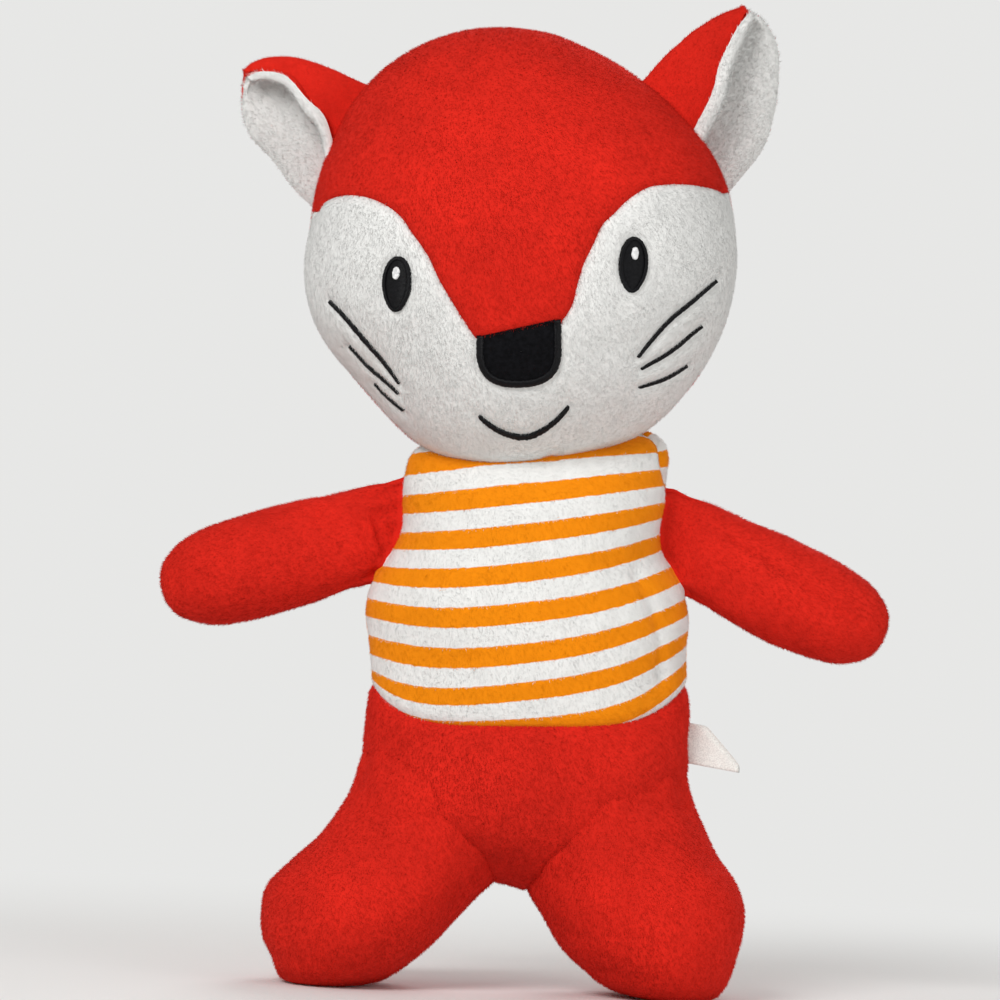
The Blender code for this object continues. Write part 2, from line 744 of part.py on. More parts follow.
def build_head(parent, form):
    """Stuffing, crown, face, back and neck opening of the head."""
    opening = turned_cutter("neck_opening", neck_form(), parent, NECK_MIDDLE, [], NECK_PLAY)
    middle_row = HEAD_ROWS_PER_HALF
    last_row = 2 * HEAD_ROWS_PER_HALF
    core = add_solid("head_stuffing", stuffing(form, 2, 2), "stuffing", parent)
    crown = add_cap("crown_panel", form, (0, middle_row), "end", "red_plush", parent)
    face = add_cap("face_panel", form, (0, middle_row), "end", "white_plush", parent)
    back = add_cap("head_back_panel", form, (middle_row, last_row), "start", "red_plush", parent)
    edge = [on_head(shares) for shares in CROWN_EDGE_SHARES]
    top = HEAD_MIDDLE[2] + HEAD_RADIUS + OVERRUN
    near = HEAD_MIDDLE[1] - HEAD_FRONT_DEPTH - OVERRUN
    far = HEAD_MIDDLE[1] + OVERRUN
    for name, distance, target, change in (
        ("crown_outline", GAP / 2, crown, keep_inside),
        ("face_outline", -GAP / 2, face, cut),
    ):
        line = [tuple(point) for point in offset_line(edge, distance)]
        line += [(line[-1][0], top), (line[0][0], top)]
        change(target, prism(name, line, near, far, parent))
    for piece in (core, face, back):
        cut(piece, opening)


def build_features(parent):
    """Nose, eyes, mouth and whiskers, sewn on the head's front."""
    nose_top = on_head(NOSE_TOP_SHARES)
    outline = []
    corner = NOSE_HALF_WIDTH
    drop = NOSE_HEIGHT - NOSE_ROUND
    power = 2 / NOSE_FULLNESS
    for k in range(13):
        angle = math.pi * k / 12
        across = math.copysign(abs(math.cos(angle)) ** power, -math.cos(angle))
        place = (corner * across, -drop - NOSE_ROUND * max(math.sin(angle), 0) ** power)
        outline.append(tilted(place, nose_top, NOSE_TILT))
    outline.append(tilted((corner, NOSE_TOP_RISE), nose_top, NOSE_TILT))
    outline.append(tilted((-corner, -NOSE_TOP_RISE), nose_top, NOSE_TILT))
    outline = divided(outline, STITCH_STEP)
    inside = np.concatenate([outline[-1:], outline, outline[:1]])
    border_line = offset_line(inside, NOSE_BORDER / 2)[1:-1]
    patch_line = offset_line(inside, NOSE_BORDER + GAP)[1:-1]
    add_patch("nose_patch", patch_line, STITCH_LOW, STITCH_HIGH, "black_velvet", parent)
    add_line(
        "nose_border", border_line, NOSE_BORDER, STITCH_LOW, BORDER_HIGH,
        "black_thread", parent, closed=True,
    )
    for side, eye in (("left", LEFT_EYE_SHARES), ("right", RIGHT_EYE_SHARES)):
        middle = on_head(eye)
        outline = []
        shine = []
        for k in range(16):
            angle = 2 * math.pi * k / 16
            drop = EYE_POINT_SHARE * max(-math.sin(angle), 0) ** 6
            place = (
                EYE_HALF_WIDTH * math.cos(angle),
                EYE_HALF_HEIGHT * (math.sin(angle) - drop),
            )
            outline.append(tilted(place, middle, EYE_TILT))
        for k in range(10):
            angle = 2 * math.pi * k / 10
            place = (
                SHINE_HALF_WIDTH * math.cos(angle),
                SHINE_RISE + SHINE_HALF_HEIGHT * math.sin(angle),
            )
            shine.append(tilted(place, middle, EYE_TILT))
        add_patch(side + "_eye", outline, STITCH_LOW, STITCH_HIGH, "black_thread", parent)
        add_patch(side + "_eye_highlight", shine, SHINE_LOW, SHINE_HIGH, "white_thread", parent)
    line = []
    for k in range(-5, 6):
        share = k / 5
        place = (MOUTH_HALF_LENGTH * share, MOUTH_SAG * share * share)
        line.append(tilted(place, on_head(MOUTH_MIDDLE_SHARES), MOUTH_TILT))
    add_line("mouth_line", line, MOUTH_WIDTH, STITCH_LOW, STITCH_HIGH, "black_thread", parent)
    for name, shares in WHISKER_SHARES.items():
        knots = [on_head(place) for place in shares]
        at = np.linspace(0, 2, WHISKER_STEPS + 1)
        line = np.stack([smooth([0, 1, 2], [knot[i] for knot in knots], at) for i in (0, 1)], 1)
        add_line(name, line, WHISKER_WIDTH, STITCH_LOW, STITCH_HIGH, "black_thread", parent)


def build_torso(parent, form, head):
    """Stuffing, shirt and pants, hollowed at the top for the head's motion."""
    last = len(TORSO_SHARES) - 1
    half = TORSO_SEGMENTS // 2
    front = (half, TORSO_SEGMENTS)
    back = (0, half)
    core = add_solid("torso_stuffing", stuffing(form, 1, 1), "stuffing", parent)
    sides = ("start", "end", "left", "right")
    pants = (0, PANTS_ROW_COUNT)
    shirt = (PANTS_ROW_COUNT, last)
    add_panel("pants_front", form, pants, front, sides, "red_plush", parent)
    add_panel("pants_back", form, pants, back, sides, "red_plush", parent)
    shirt_front = add_panel("shirt_front", form, shirt, front, sides, "shirt_plush", parent)
    shirt_back = add_panel("shirt_back", form, shirt, back, sides, "shirt_plush", parent)
    cutters = [turned_cutter("neck_hollow", neck_form(), parent, NECK_MIDDLE, [])]
    for turn in (TURN_LIMITS[0], 0, TURN_LIMITS[1]):
        for nod in (NOD_LIMITS[0], 0, NOD_LIMITS[1]):
            turns = [((0, 0, 1), turn), ((1, 0, 0), nod)]
            name = "head_sweep_%d_%d" % (turn, nod)
            cutters.append(turned_cutter(name, head, parent, NECK_MIDDLE, turns))
    for piece in (core, shirt_front, shirt_back):
        for cutter in cutters:
            cut(piece, cutter)


def build_limb(name, form, carrier, joint, parent, split, first_stuffed, cleared):
    """Stuffing and two panels of a limb, cut free of the form that carries it."""
    half = form.rings.shape[1] // 2
    whole_rows = (0, form.rings.shape[0] - 1)
    start, finish = split
    filling = stuffing(form, 1, 2)[first_stuffed:]
    end = np.broadcast_to(filling[:1].mean(axis=1, keepdims=True), filling[:1].shape)
    if first_stuffed:
        filling = np.concatenate([end, filling])
    core = add_solid(name + "_stuffing", filling, "stuffing", parent)
    sides = ("left", "right")
    first = add_panel(
        name + "_front_panel", form, whole_rows, (start, start + half), sides,
        finish, parent,
    )
    second = add_panel(
        name + "_back_panel", form, whole_rows, (start + half, start + 2 * half), sides,
        finish, parent,
    )
    place, axis, limits = joint
    for share in cleared:
        degrees = limits[1] * share
        label = "%s_clearance_%d" % (name, degrees)
        cutter = turned_cutter(label, carrier, parent, place, [(axis, -degrees)])
        for piece in (core, first, second):
            cut(piece, cutter)
    return core, first, second


def build_ear(name, grid, side, head, parent, joint):
    """Red back piece and white lining of an ear."""
    if side > 0:
        grid = grid[:, ::-1]
    normals = grid_normals(grid, False)
    pieces = []
    for part, inner, outer, finish in (
        ("_back", GAP / 2, GAP / 2 + EAR_CLOTH, "red_plush"),
        ("_lining", -GAP / 2 - EAR_CLOTH, -GAP / 2, "white_plush"),
    ):
        grids = (grid + normals * outer, grid + normals * inner)
        pieces.append(add_shell(name + part, grids[0], grids[1], finish, parent))
    place, axis, limits = joint
    for degrees in (limits[0], 0, limits[1]):
        label = "%s_clearance_%d" % (name, degrees)
        cutter = turned_cutter(label, head, parent, place, [(axis, -degrees)])
        for piece in pieces:
            cut(piece, cutter)


def build_label(parent, torso, root):
    """A blank ribbon end that stands out of the hip seam."""
    along = Vector((math.cos(LABEL_DROP), 0, -math.sin(LABEL_DROP)))
    upward = Vector((math.sin(LABEL_DROP), 0, math.cos(LABEL_DROP)))
    grid = np.zeros((LABEL_STEPS + 1, 2, 3))
    for i in range(LABEL_STEPS + 1):
        share = i / LABEL_STEPS
        middle = Vector(root) + along * (LABEL_LENGTH * share - LABEL_SEWN_IN)
        middle += Vector((0, LABEL_CURL * share * share, 0))
        grid[i, 0] = middle - upward * (LABEL_WIDTH / 2)
        grid[i, 1] = middle + upward * (LABEL_WIDTH / 2)
    normals = grid_normals(grid, False)
    outer = grid + normals * (LABEL_THICKNESS / 2)
    inner = grid - normals * (LABEL_THICKNESS / 2)
    label = add_shell("care_label", outer, inner, "label_tape", parent)
    cut(label, turned_cutter("label_clearance", torso, parent, root, []))


def hip_joint(side):
    """Place and axis of a hip: along the torso's V, a little inside it."""
    end = Vector((side * TORSO_HALF_WIDTH * TORSO_SHARES[0][1], 0, HIP_RISE))
    axis = end.normalized()
    inward = Vector((-axis.z * side, 0, abs(axis.x)))
    start = Vector((TORSO_MIDDLE_X, 0, TORSO_BOTTOM))
    place = start + end / 2 + inward * HIP_AXIS_DEPTH
    if side < 0:
        axis = -axis
    return place, axis


def main():
    for thing in list(bpy.data.objects):
        bpy.data.objects.remove(thing)
    torso = torso_form()
    head = head_form()
    root = pivot("fox", (0, 0, 0), None)
    root.location = CENTRING
    neck = pivot("neck_turn_axis", NECK_MIDDLE, root)
    skull = pivot("head_nod_axis", NECK_MIDDLE, neck)
    add_solid("neck_stuffing", neck_form().rings, "stuffing", neck)
    build_torso(root, torso, head)
    build_head(skull, head)
    build_features(skull)
    for name, side, place, lean, length, shares in (
        ("left_ear", -1, LEFT_EAR_BASE_SHARES, LEFT_EAR_LEAN, LEFT_EAR_LENGTH, LEFT_EAR_SHARES),
        (
            "right_ear", 1, RIGHT_EAR_BASE_SHARES, RIGHT_EAR_LEAN, RIGHT_EAR_LENGTH,
            RIGHT_EAR_SHARES,
        ),
    ):
        across, up = on_head(place)
        base = (across, EAR_BACK, up)
        axis = (math.sin(lean), 0, -math.cos(lean))
        ear = pivot(name + "_axis", base, skull)
        grid = ear_grid(base, length, shares)
        build_ear(name, grid, side, head, ear, (base, axis, EAR_LIMITS))
    for name, side, place, length, droop, lean in (
        ("left_arm", -1, LEFT_SHOULDER_SHARES, LEFT_ARM_LENGTH, LEFT_ARM_DROOP, LEFT_SEAM_LEAN),
        ("right_arm", 1, RIGHT_SHOULDER_SHARES, RIGHT_ARM_LENGTH, RIGHT_ARM_DROOP, RIGHT_SEAM_LEAN),
    ):
        shoulder = on_torso(*place)
        form = arm_form(shoulder, length, droop, side)
        arm = pivot(name + "_axis", shoulder, root)
        joint = (shoulder, (math.sin(lean), 0, math.cos(lean)), ARM_LIMITS)
        start = ARM_SEGMENTS // 2 if side < 0 else 0
        split = (start, "red_plush")
        build_limb(name, form, torso, joint, arm, split, ARM_EMPTY_ROW_COUNT, ARM_CLEARED_SHARES)
    sole = prism(
        "floor_cut",
        [(-OVERRUN * 4, -OVERRUN), (OVERRUN * 4, -OVERRUN), (OVERRUN * 4, 0), (-OVERRUN * 4, 0)],
        -OVERRUN * 2, OVERRUN * 2, root,
    )
    for name, side, spread in (
        ("left_leg", -1, LEFT_FOOT_SPREAD),
        ("right_leg", 1, RIGHT_FOOT_SPREAD),
    ):
        root_x = on_torso(side * LEG_ROOT_SHARE, 0)[0]
        form = leg_form(root_x + side * spread, root_x, side)
        place, axis = hip_joint(side)
        leg = pivot(name + "_axis", place, root)
        joint = (place, axis, LEG_LIMITS)
        start = LEG_SEGMENTS // 2
        split = (start, "red_plush")
        pieces = build_limb(name, form, torso, joint, leg, split, 0, LEG_CLEARED_SHARES)
        for piece in pieces[1:]:
            cut(piece, sole)
    label_root = on_torso(*LABEL_ROOT_SHARES)
    build_label(pivot("care_label_axis", label_root, root), torso, label_root)
    bpy.context.view_layer.update()
    for thing in bpy.data.objects:
        if thing.type == "EMPTY":
            print(thing.name, [round(value, 5) for value in thing.matrix_world.translation])


main()
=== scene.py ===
# %% [markdown]
# # A plush fox in a striped shirt
#
# The toy is sewn from short-pile plush and stuffed with polyester fibre. Its look comes
# from four things: full, slightly lumpy forms; seams that pull the cloth in; a nap that
# catches the light in patches; and a face embroidered in satin stitch. This file makes
# them in that order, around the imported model, which says where each piece is.

import json
import math

import bpy
import numpy as np
from mathutils import Matrix, Vector, kdtree, noise
from mathutils.bvhtree import BVHTree
from mathutils.geometry import delaunay_2d_cdt


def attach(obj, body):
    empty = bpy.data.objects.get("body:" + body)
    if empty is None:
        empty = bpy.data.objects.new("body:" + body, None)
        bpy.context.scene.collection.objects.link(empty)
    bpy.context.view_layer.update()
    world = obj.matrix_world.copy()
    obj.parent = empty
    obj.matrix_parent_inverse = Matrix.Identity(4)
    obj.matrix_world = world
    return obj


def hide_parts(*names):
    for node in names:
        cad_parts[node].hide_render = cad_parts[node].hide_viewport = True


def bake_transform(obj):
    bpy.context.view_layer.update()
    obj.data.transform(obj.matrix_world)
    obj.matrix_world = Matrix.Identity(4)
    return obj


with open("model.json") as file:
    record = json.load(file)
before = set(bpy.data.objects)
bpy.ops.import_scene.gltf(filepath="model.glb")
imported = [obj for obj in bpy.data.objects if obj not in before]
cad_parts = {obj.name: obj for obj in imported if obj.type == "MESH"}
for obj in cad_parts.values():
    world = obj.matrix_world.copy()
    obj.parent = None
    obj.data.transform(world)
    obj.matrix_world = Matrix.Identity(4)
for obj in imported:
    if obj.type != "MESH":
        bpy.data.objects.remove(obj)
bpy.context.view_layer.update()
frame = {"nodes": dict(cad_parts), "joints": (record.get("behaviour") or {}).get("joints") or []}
JOINTS = {joint["name"]: joint for joint in frame["joints"]}
MM = 0.001
FULL_TURN = 2 * math.pi

# %% [markdown]
# ## Forms
#
# A stuffed form is a stack of ellipses. A short table gives each ellipse's place and
# size as shares of the whole, and a smooth curve is read through the table's rows. The
# tables are those of the model's solids, so what is sewn here lies on them. Sculpting by
# hand would give the same forms, but tables keep both edges of a seam exactly together.


# %% A smooth curve through a table's rows
def read_rows(table, at):
    """The table's values at fractional row numbers, along a smooth curve."""
    table = np.asarray(table, float)
    at = np.clip(np.asarray(at, float), 0, len(table) - 1)
    i = np.minimum(at.astype(int), len(table) - 2)
    s = (at - i)[..., None]
    slopes = np.gradient(table, axis=0)
    rise = (3 - 2 * s) * s * s
    bow = s * (1 - s) * ((1 - s) * slopes[i] - s * slopes[i + 1])
    return table[i] * (1 - rise) + table[i + 1] * rise + bow


def unpacked(values):
    return np.moveaxis(values, -1, 0)


# %% The torso: a pillow whose lower edge is a V between the hips
TORSO_BOTTOM, TORSO_HEIGHT = np.array([4.5, 4.0, 47.0]) * MM, 205 * MM
TORSO_HALF_WIDTH, TORSO_HALF_DEPTH = 73.5 * MM, 49 * MM
HIP_RISE = 46 * MM  # how much higher the V ends at the hips than at the crotch
RISE_HEIGHTS, RISE_POWERS = (0.05, 0.36, 0.5), (1.6, 5.0, 2.7)  # a high power keeps the middle level
TORSO_ROWS = [  # height, width, depth, rise at the sides, sideways shift, slope
    (0.000, 0.94, 0.00, 1.00, 0.00, -0.02),
    (0.014, 0.96, 0.33, 1.00, 0.00, -0.02),
    (0.050, 0.98, 0.60, 0.95, 0.00, -0.01),
    (0.113, 0.99, 0.83, 0.80, 0.00, 0.00),
    (0.199, 1.00, 0.93, 0.60, 0.00, 0.04),
    (0.274, 1.00, 0.95, 0.47, 0.00, 0.05),
    (0.348, 0.985, 0.95, 0.40, 0.00, 0.032),
    (0.429, 0.97, 0.96, 0.28, 0.00, 0.10),
    (0.513, 0.985, 0.98, 0.24, -0.01, 0.105),
    (0.595, 0.97, 1.00, 0.21, -0.05, 0.11),
    (0.669, 0.89, 0.99, 0.16, -0.09, 0.125),
    (0.731, 0.84, 0.97, 0.11, -0.06, 0.13),
    (0.796, 0.82, 0.92, 0.06, -0.02, 0.13),
    (0.864, 0.82, 0.84, 0.02, -0.02, 0.12),
    (0.917, 0.815, 0.70, 0.00, -0.02, 0.11),
    (0.960, 0.785, 0.48, 0.00, -0.02, 0.09),
    (0.989, 0.70, 0.22, 0.00, -0.02, 0.08),
    (1.000, 0.60, 0.00, 0.00, -0.02, 0.08),
]
HEM_ROW, HEM_HEIGHT = 6.13, TORSO_ROWS[6][0]  # the shirt's hem lies just above the table's row 6


def torso_at(rows, turns):
    """Points of the torso; turn 0 is the viewer's right and a quarter turn its back."""
    height, width, depth, rise, shift, slope = unpacked(read_rows(TORSO_ROWS, rows))
    across = TORSO_HALF_WIDTH * width * np.cos(turns)
    power = np.interp(height, RISE_HEIGHTS, RISE_POWERS)
    lift = HIP_RISE * rise * np.abs(np.cos(turns)) ** power + slope * across
    out = TORSO_HALF_DEPTH * depth * np.sin(turns)
    places = (TORSO_HALF_WIDTH * shift + across, out, TORSO_HEIGHT * height + lift)
    return TORSO_BOTTOM + np.stack(places, -1)


# %% The torso's right side seam, and places on its middle plane
SEAM_FORWARD, SEAM_HEIGHTS = math.radians(17), (0.82, 0.92)  # it moves forward between them


def seams_forward(rows, turns):
    """Turns on the torso, with the right side seam moved to the front above the arm."""
    height = read_rows(TORSO_ROWS, rows)[..., 0]
    share = np.clip((height - SEAM_HEIGHTS[0]) / (SEAM_HEIGHTS[1] - SEAM_HEIGHTS[0]), 0, 1)
    return turns - SEAM_FORWARD * share**2 * (3 - 2 * share) * np.maximum(np.cos(turns), 0) ** 3


def on_torso(across, up):
    """A place in the torso's middle plane, as shares of its half width and height."""
    return TORSO_BOTTOM + (TORSO_HALF_WIDTH * across, 0, TORSO_HEIGHT * up)


print("the torso is", round(2 * TORSO_HALF_WIDTH / MM), "by", round(2 * TORSO_HALF_DEPTH / MM), "mm")


# %% Arms: pinched flat where they are sewn in, round in the middle
ARM_HALF_HEIGHT, ARM_HALF_DEPTH = 24 * MM, 22 * MM
ARM_ROWS = [  # length, height, depth
    (-0.16, 0.00, 0.00),
    (-0.11, 0.78, 0.20),
    (0.01, 0.86, 0.20),
    (0.10, 0.90, 0.48),
    (0.22, 0.93, 0.74),
    (0.42, 1.00, 0.96),
    (0.64, 0.98, 1.00),
    (0.82, 0.88, 0.90),
    (0.93, 0.64, 0.64),
    (0.98, 0.36, 0.36),
    (1.00, 0.00, 0.00),
]
ARMS = {  # side, shoulder, length, droop
    "left_arm": (-1, on_torso(-0.844, 0.776), 111 * MM, math.radians(18)),
    "right_arm": (1, on_torso(0.83, 0.78), 107 * MM, math.radians(22.7)),
}


def arm_directions(name):
    side, _, _, droop = ARMS[name]
    along = np.array([side * math.cos(droop), 0, -math.sin(droop)])
    upward = np.array([side * math.sin(droop), 0, math.cos(droop)])
    return along, upward, np.cross(along, upward)


def arm_at(name, rows, turns):
    """Points of an arm; turn 0 is its top seam and a half turn its lower seam."""
    _, shoulder, length, _ = ARMS[name]
    place, height, depth = unpacked(read_rows(ARM_ROWS, rows))
    sizes = (
        length * place,
        ARM_HALF_HEIGHT * height * np.cos(turns),
        ARM_HALF_DEPTH * depth * np.sin(turns),
    )
    return shoulder + np.stack(sizes, -1) @ np.array(arm_directions(name))


print("the arms are", [round(length / MM) for _, _, length, _ in ARMS.values()], "mm long")


# %% Legs: short stumps that end in round feet
LEG_HEIGHT, LEG_HALF = 114 * MM, 48.5 * MM
FOOT_FORWARD, SOLE_CUT = 7 * MM, 0.5 * MM
LEG_ROOT = 0.537  # from the torso's middle, in its half widths
LEG_ROWS = [  # height, width, depth, how far the middle has moved to the left and right foot
    (0.000, 0.00, 0.00, 1.00, 1.00),
    (0.0045, 0.35, 0.43, 1.00, 1.00),
    (0.050, 0.565, 0.69, 0.91, 0.86),
    (0.110, 0.69, 0.83, 0.845, 0.77),
    (0.180, 0.81, 0.93, 0.80, 0.66),
    (0.270, 0.905, 0.99, 0.72, 0.58),
    (0.370, 0.98, 1.00, 0.585, 0.47),
    (0.470, 0.955, 0.95, 0.39, 0.37),
    (0.580, 0.88, 0.89, 0.19, 0.20),
    (0.700, 0.82, 0.82, 0.06, 0.07),
    (0.820, 0.72, 0.74, 0.00, 0.00),
    (0.930, 0.56, 0.58, 0.00, 0.00),
    (1.000, 0.00, 0.00, 0.00, 0.00),
]
LEGS = {"left_leg": (-1, 45.5 * MM), "right_leg": (1, 31.5 * MM)}  # side, spread


def leg_at(name, rows, turns):
    """Points of a leg; turn 0 is the viewer's right and a quarter turn its back."""
    side, spread = LEGS[name]
    place, width, depth, *both = unpacked(read_rows(LEG_ROWS, rows))
    moved = both[0] if side < 0 else both[1]
    root = on_torso(side * LEG_ROOT, 0)
    places = (
        root[0] + side * spread * moved + LEG_HALF * width * np.cos(turns),
        root[1] - FOOT_FORWARD * moved + LEG_HALF * depth * np.sin(turns),
        np.maximum(LEG_HEIGHT * place - SOLE_CUT, 0) + 0 * turns,
    )
    return np.stack(places, -1)


print("the legs are", round(LEG_HEIGHT / MM), "mm high, on feet", round(2 * LEG_HALF / MM), "mm wide")


# %% The head: a round pillow, a little fuller than a ball
HEAD_RADIUS, HEAD_DEPTHS, FULLNESS = 97 * MM, (80 * MM, 72 * MM), 2.2
HEAD_MIDDLE = np.array([-7.5, 4.0, 337.0]) * MM
HEAD_OUTLINE = [  # its radius from the top round by the viewer's right, in head radii
    0.99, 0.935, 0.93, 0.98, 1.0, 1.025, 1.05, 1.06,
    1.085, 1.055, 1.0, 1.025, 0.99, 0.995, 1.015, 1.01,
]


def head_radius(angle):
    """The outline's radius, at an angle from the top round by the viewer's right."""
    count = len(HEAD_OUTLINE)
    table = [[HEAD_OUTLINE[i % count]] for i in range(-2, count + 3)]
    at = np.mod(angle, FULL_TURN) * count / FULL_TURN + 2
    return HEAD_RADIUS * read_rows(table, at)[..., 0]


def head_at(dip, angle, back=0):
    """Points and normals of the head; dip is 0 in its middle, a quarter turn at its rim."""
    radius, depth, way = head_radius(angle), HEAD_DEPTHS[back], (-1, 1)[back]
    reach = np.sin(dip) ** (2 / FULLNESS)
    forward = np.abs(np.cos(dip)) ** (2 / FULLNESS)
    places = (reach * radius * np.sin(angle), way * depth * forward, reach * radius * np.cos(angle))
    tilt = reach ** (FULLNESS - 1) / radius
    facing = (tilt * np.sin(angle), way * forward ** (FULLNESS - 1) / depth, tilt * np.cos(angle))
    facing = np.stack(facing, -1)
    return HEAD_MIDDLE + np.stack(places, -1), facing / np.linalg.norm(facing, axis=-1, keepdims=True)


def face_at(x, z):
    """Points and normals of the head's front, from places in the front view."""
    across, up = x - HEAD_MIDDLE[0], z - HEAD_MIDDLE[2]
    angle = np.arctan2(across, up)
    share = np.minimum(np.hypot(across, up) / head_radius(angle), 1)
    return head_at(np.arcsin(share ** (FULLNESS / 2)), angle)


print("the head is", round(2 * HEAD_RADIUS / MM), "mm wide and", round(sum(HEAD_DEPTHS) / MM), "mm deep")


# %% [markdown]
# ## From forms to sewn cloth
#
# Real panels are cut flat and meet in seams, where stitches pull both edges down into a
# valley. So every panel is a mesh whose points sink towards its seams, swell where the
# stuffing is lumpy, and rise into a soft fillet where a limb grows out of the body. The
# distance to the nearest seam drives it. A displacement texture could do the lumps, but
# not the seams, which follow the pattern's edges; a cloth simulation under pressure could
# do both, but would not keep the two edges of a seam together.


# %% Grids, normals and distances
def grid_faces(rows, columns, closed):
    """Quads of a grid of points; a closed grid joins its last column to its first."""
    own = np.arange(columns if closed else columns - 1)
    beside = (own + 1) % columns
    low = np.arange(rows - 1)[:, None] * columns
    corners = (low + own, low + beside, low + columns + beside, low + columns + own)
    return np.stack(corners, -1).reshape(-1, 4)


def unit(vectors):
    return vectors / np.maximum(np.linalg.norm(vectors, axis=-1, keepdims=True), 1e-12)


def mesh_normals(points, faces):
    """Outward normals of a mesh's points, averaged over their faces."""
    faces = np.asarray(faces)
    spread = np.cross(
        points[faces[:, 2]] - points[faces[:, 0]], points[faces[:, -1]] - points[faces[:, 1]]
    )
    total = np.zeros_like(points)
    for k in range(faces.shape[1]):
        np.add.at(total, faces[:, k], spread)
    return unit(total)


def grid_normals(grid, closed=True):
    """Outward normals of a grid of points, in the grid's shape."""
    faces = grid_faces(*grid.shape[:2], closed)
    return mesh_normals(grid.reshape(-1, 3), faces).reshape(grid.shape)


def search_tree(grid):
    """What finds the nearest place on a closed grid of points."""
    faces = grid_faces(*grid.shape[:2], True)
    return BVHTree.FromPolygons(grid.reshape(-1, 3).tolist(), faces.tolist())


def outside(tree, points):
    """How far each point is outside a form; negative inside it."""
    far = []
    for point in points.reshape(-1, 3):
        found, normal, _, distance = tree.find_nearest(point)
        far.append(distance if (Vector(point) - found).dot(normal) >= 0 else -distance)
    return np.reshape(far, points.shape[:-1])


# %% Distances from a line, and along it
def line_distance(points, line):
    """Distance from each point to the nearest point of a line."""
    tree = kdtree.KDTree(len(line))
    for k, place in enumerate(line):
        tree.insert(place, k)
    tree.balance()
    return np.array([tree.find(point)[2] for point in points])


def lengths_along(line):
    """How far along a line each of its points is."""
    steps = np.linalg.norm(np.diff(line, axis=0), axis=1)
    return np.concatenate([[0], np.cumsum(steps)])


def along_line(knots, spacing):
    """A polyline's points at an even spacing."""
    knots = np.asarray(knots, float)
    length = lengths_along(knots)
    at = np.linspace(0, length[-1], max(round(length[-1] / spacing), 1) + 1)
    return np.stack([np.interp(at, length, knots[:, k]) for k in range(knots.shape[1])], 1)


# %% Stuffing that swells the cloth, and stitches that pull it in
def lumps(points, size, seed):
    """Uneven swelling, from about -1 to 1, with hollows about size apart."""
    shift = Vector((seed * 3.1, seed * 1.7, seed * 2.3))
    made = [noise.noise(Vector(point) / size + shift) for point in points.reshape(-1, 3)]
    return np.reshape(made, points.shape[:-1])


def swell(points, seed):
    return 1.5 * MM * lumps(points, 46 * MM, seed) + 0.5 * MM * lumps(points, 15 * MM, seed + 9)


def valley(distance, depth, width):
    """How far cloth is pulled down at a distance from a seam."""
    near = np.maximum(distance, 0) / width
    return depth * np.exp(-near * near) + 0.5 * depth * np.exp(-((near / 3) ** 2))


# %% Every form as a dense grid, and its search tree
STEP = 1.7 * MM


def dense(shape, count, around):
    """A form's rows and turns, spaced evenly along its surface."""
    fine = np.linspace(0, count - 1, 300)
    some = np.linspace(0, FULL_TURN, 12, endpoint=False)
    rough = shape(*np.meshgrid(fine, some, indexing="ij"))
    steps = np.linalg.norm(np.diff(rough, axis=0), axis=-1).max(axis=1)
    length = np.concatenate([[0], np.cumsum(steps)])
    wanted = np.linspace(0, length[-1], round(length[-1] / STEP) + 1)
    turns = np.linspace(0, FULL_TURN, round(around / STEP / 4) * 4, endpoint=False)
    return np.interp(wanted, length, fine), turns


SHAPES = {"torso": (lambda r, t: torso_at(r, seams_forward(r, t)), len(TORSO_ROWS), 400 * MM)}
for limb in ARMS:
    SHAPES[limb] = (lambda r, t, limb=limb: arm_at(limb, r, t), len(ARM_ROWS), 150 * MM)
for limb in LEGS:
    SHAPES[limb] = (lambda r, t, limb=limb: leg_at(limb, r, t), len(LEG_ROWS), 300 * MM)
forms, trees = {}, {}
for name, (shape, count, around) in SHAPES.items():
    rows, turns = dense(shape, count, around)
    points = shape(*np.meshgrid(rows, turns, indexing="ij"))
    forms[name] = {"rows": rows, "turns": turns, "points": points}
    trees[name] = search_tree(points)
    print(name, "is a grid of", len(rows), "rows by", len(turns), "points")

# %% The head's search tree
HEAD_AROUND = round(FULL_TURN * HEAD_RADIUS / STEP / 4) * 4
RIM = np.linspace(0, FULL_TURN, HEAD_AROUND, endpoint=False)
DIPS = np.linspace(0, math.pi / 2, round(135 * MM / STEP))
front_grid = head_at(*np.meshgrid(DIPS, RIM, indexing="ij"))[0]
back_grid = head_at(*np.meshgrid(DIPS[::-1], RIM, indexing="ij"), back=1)[0]
head_grid = np.concatenate([front_grid, back_grid[1:]])
trees["head"] = search_tree(head_grid)
print("the head is a grid of", len(head_grid), "rings by", HEAD_AROUND, "points")

# %% [markdown]
# ## Cloth with a thickness
#
# A panel of plush is about 2 mm thick with its pile. A single sheet of faces would show a
# paper edge at the ears and the neck, so each panel gets a second layer of points under
# the first, joined along its border. Blender's Solidify modifier does the same; made here,
# the inner layer can be kept out of the way of the filling.


# %% Build a piece from points and faces
pieces, slots, skins, follows = {}, {}, {}, {}  # all by a piece's name


def follow(piece, skin):
    """Puts a piece on the body that the skin of that name rides on; a piece whose skin lies between two
    bodies only gets its transform baked.
    """
    way = follows[skin]
    if isinstance(way, str):
        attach(piece, way)
    else:
        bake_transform(piece)


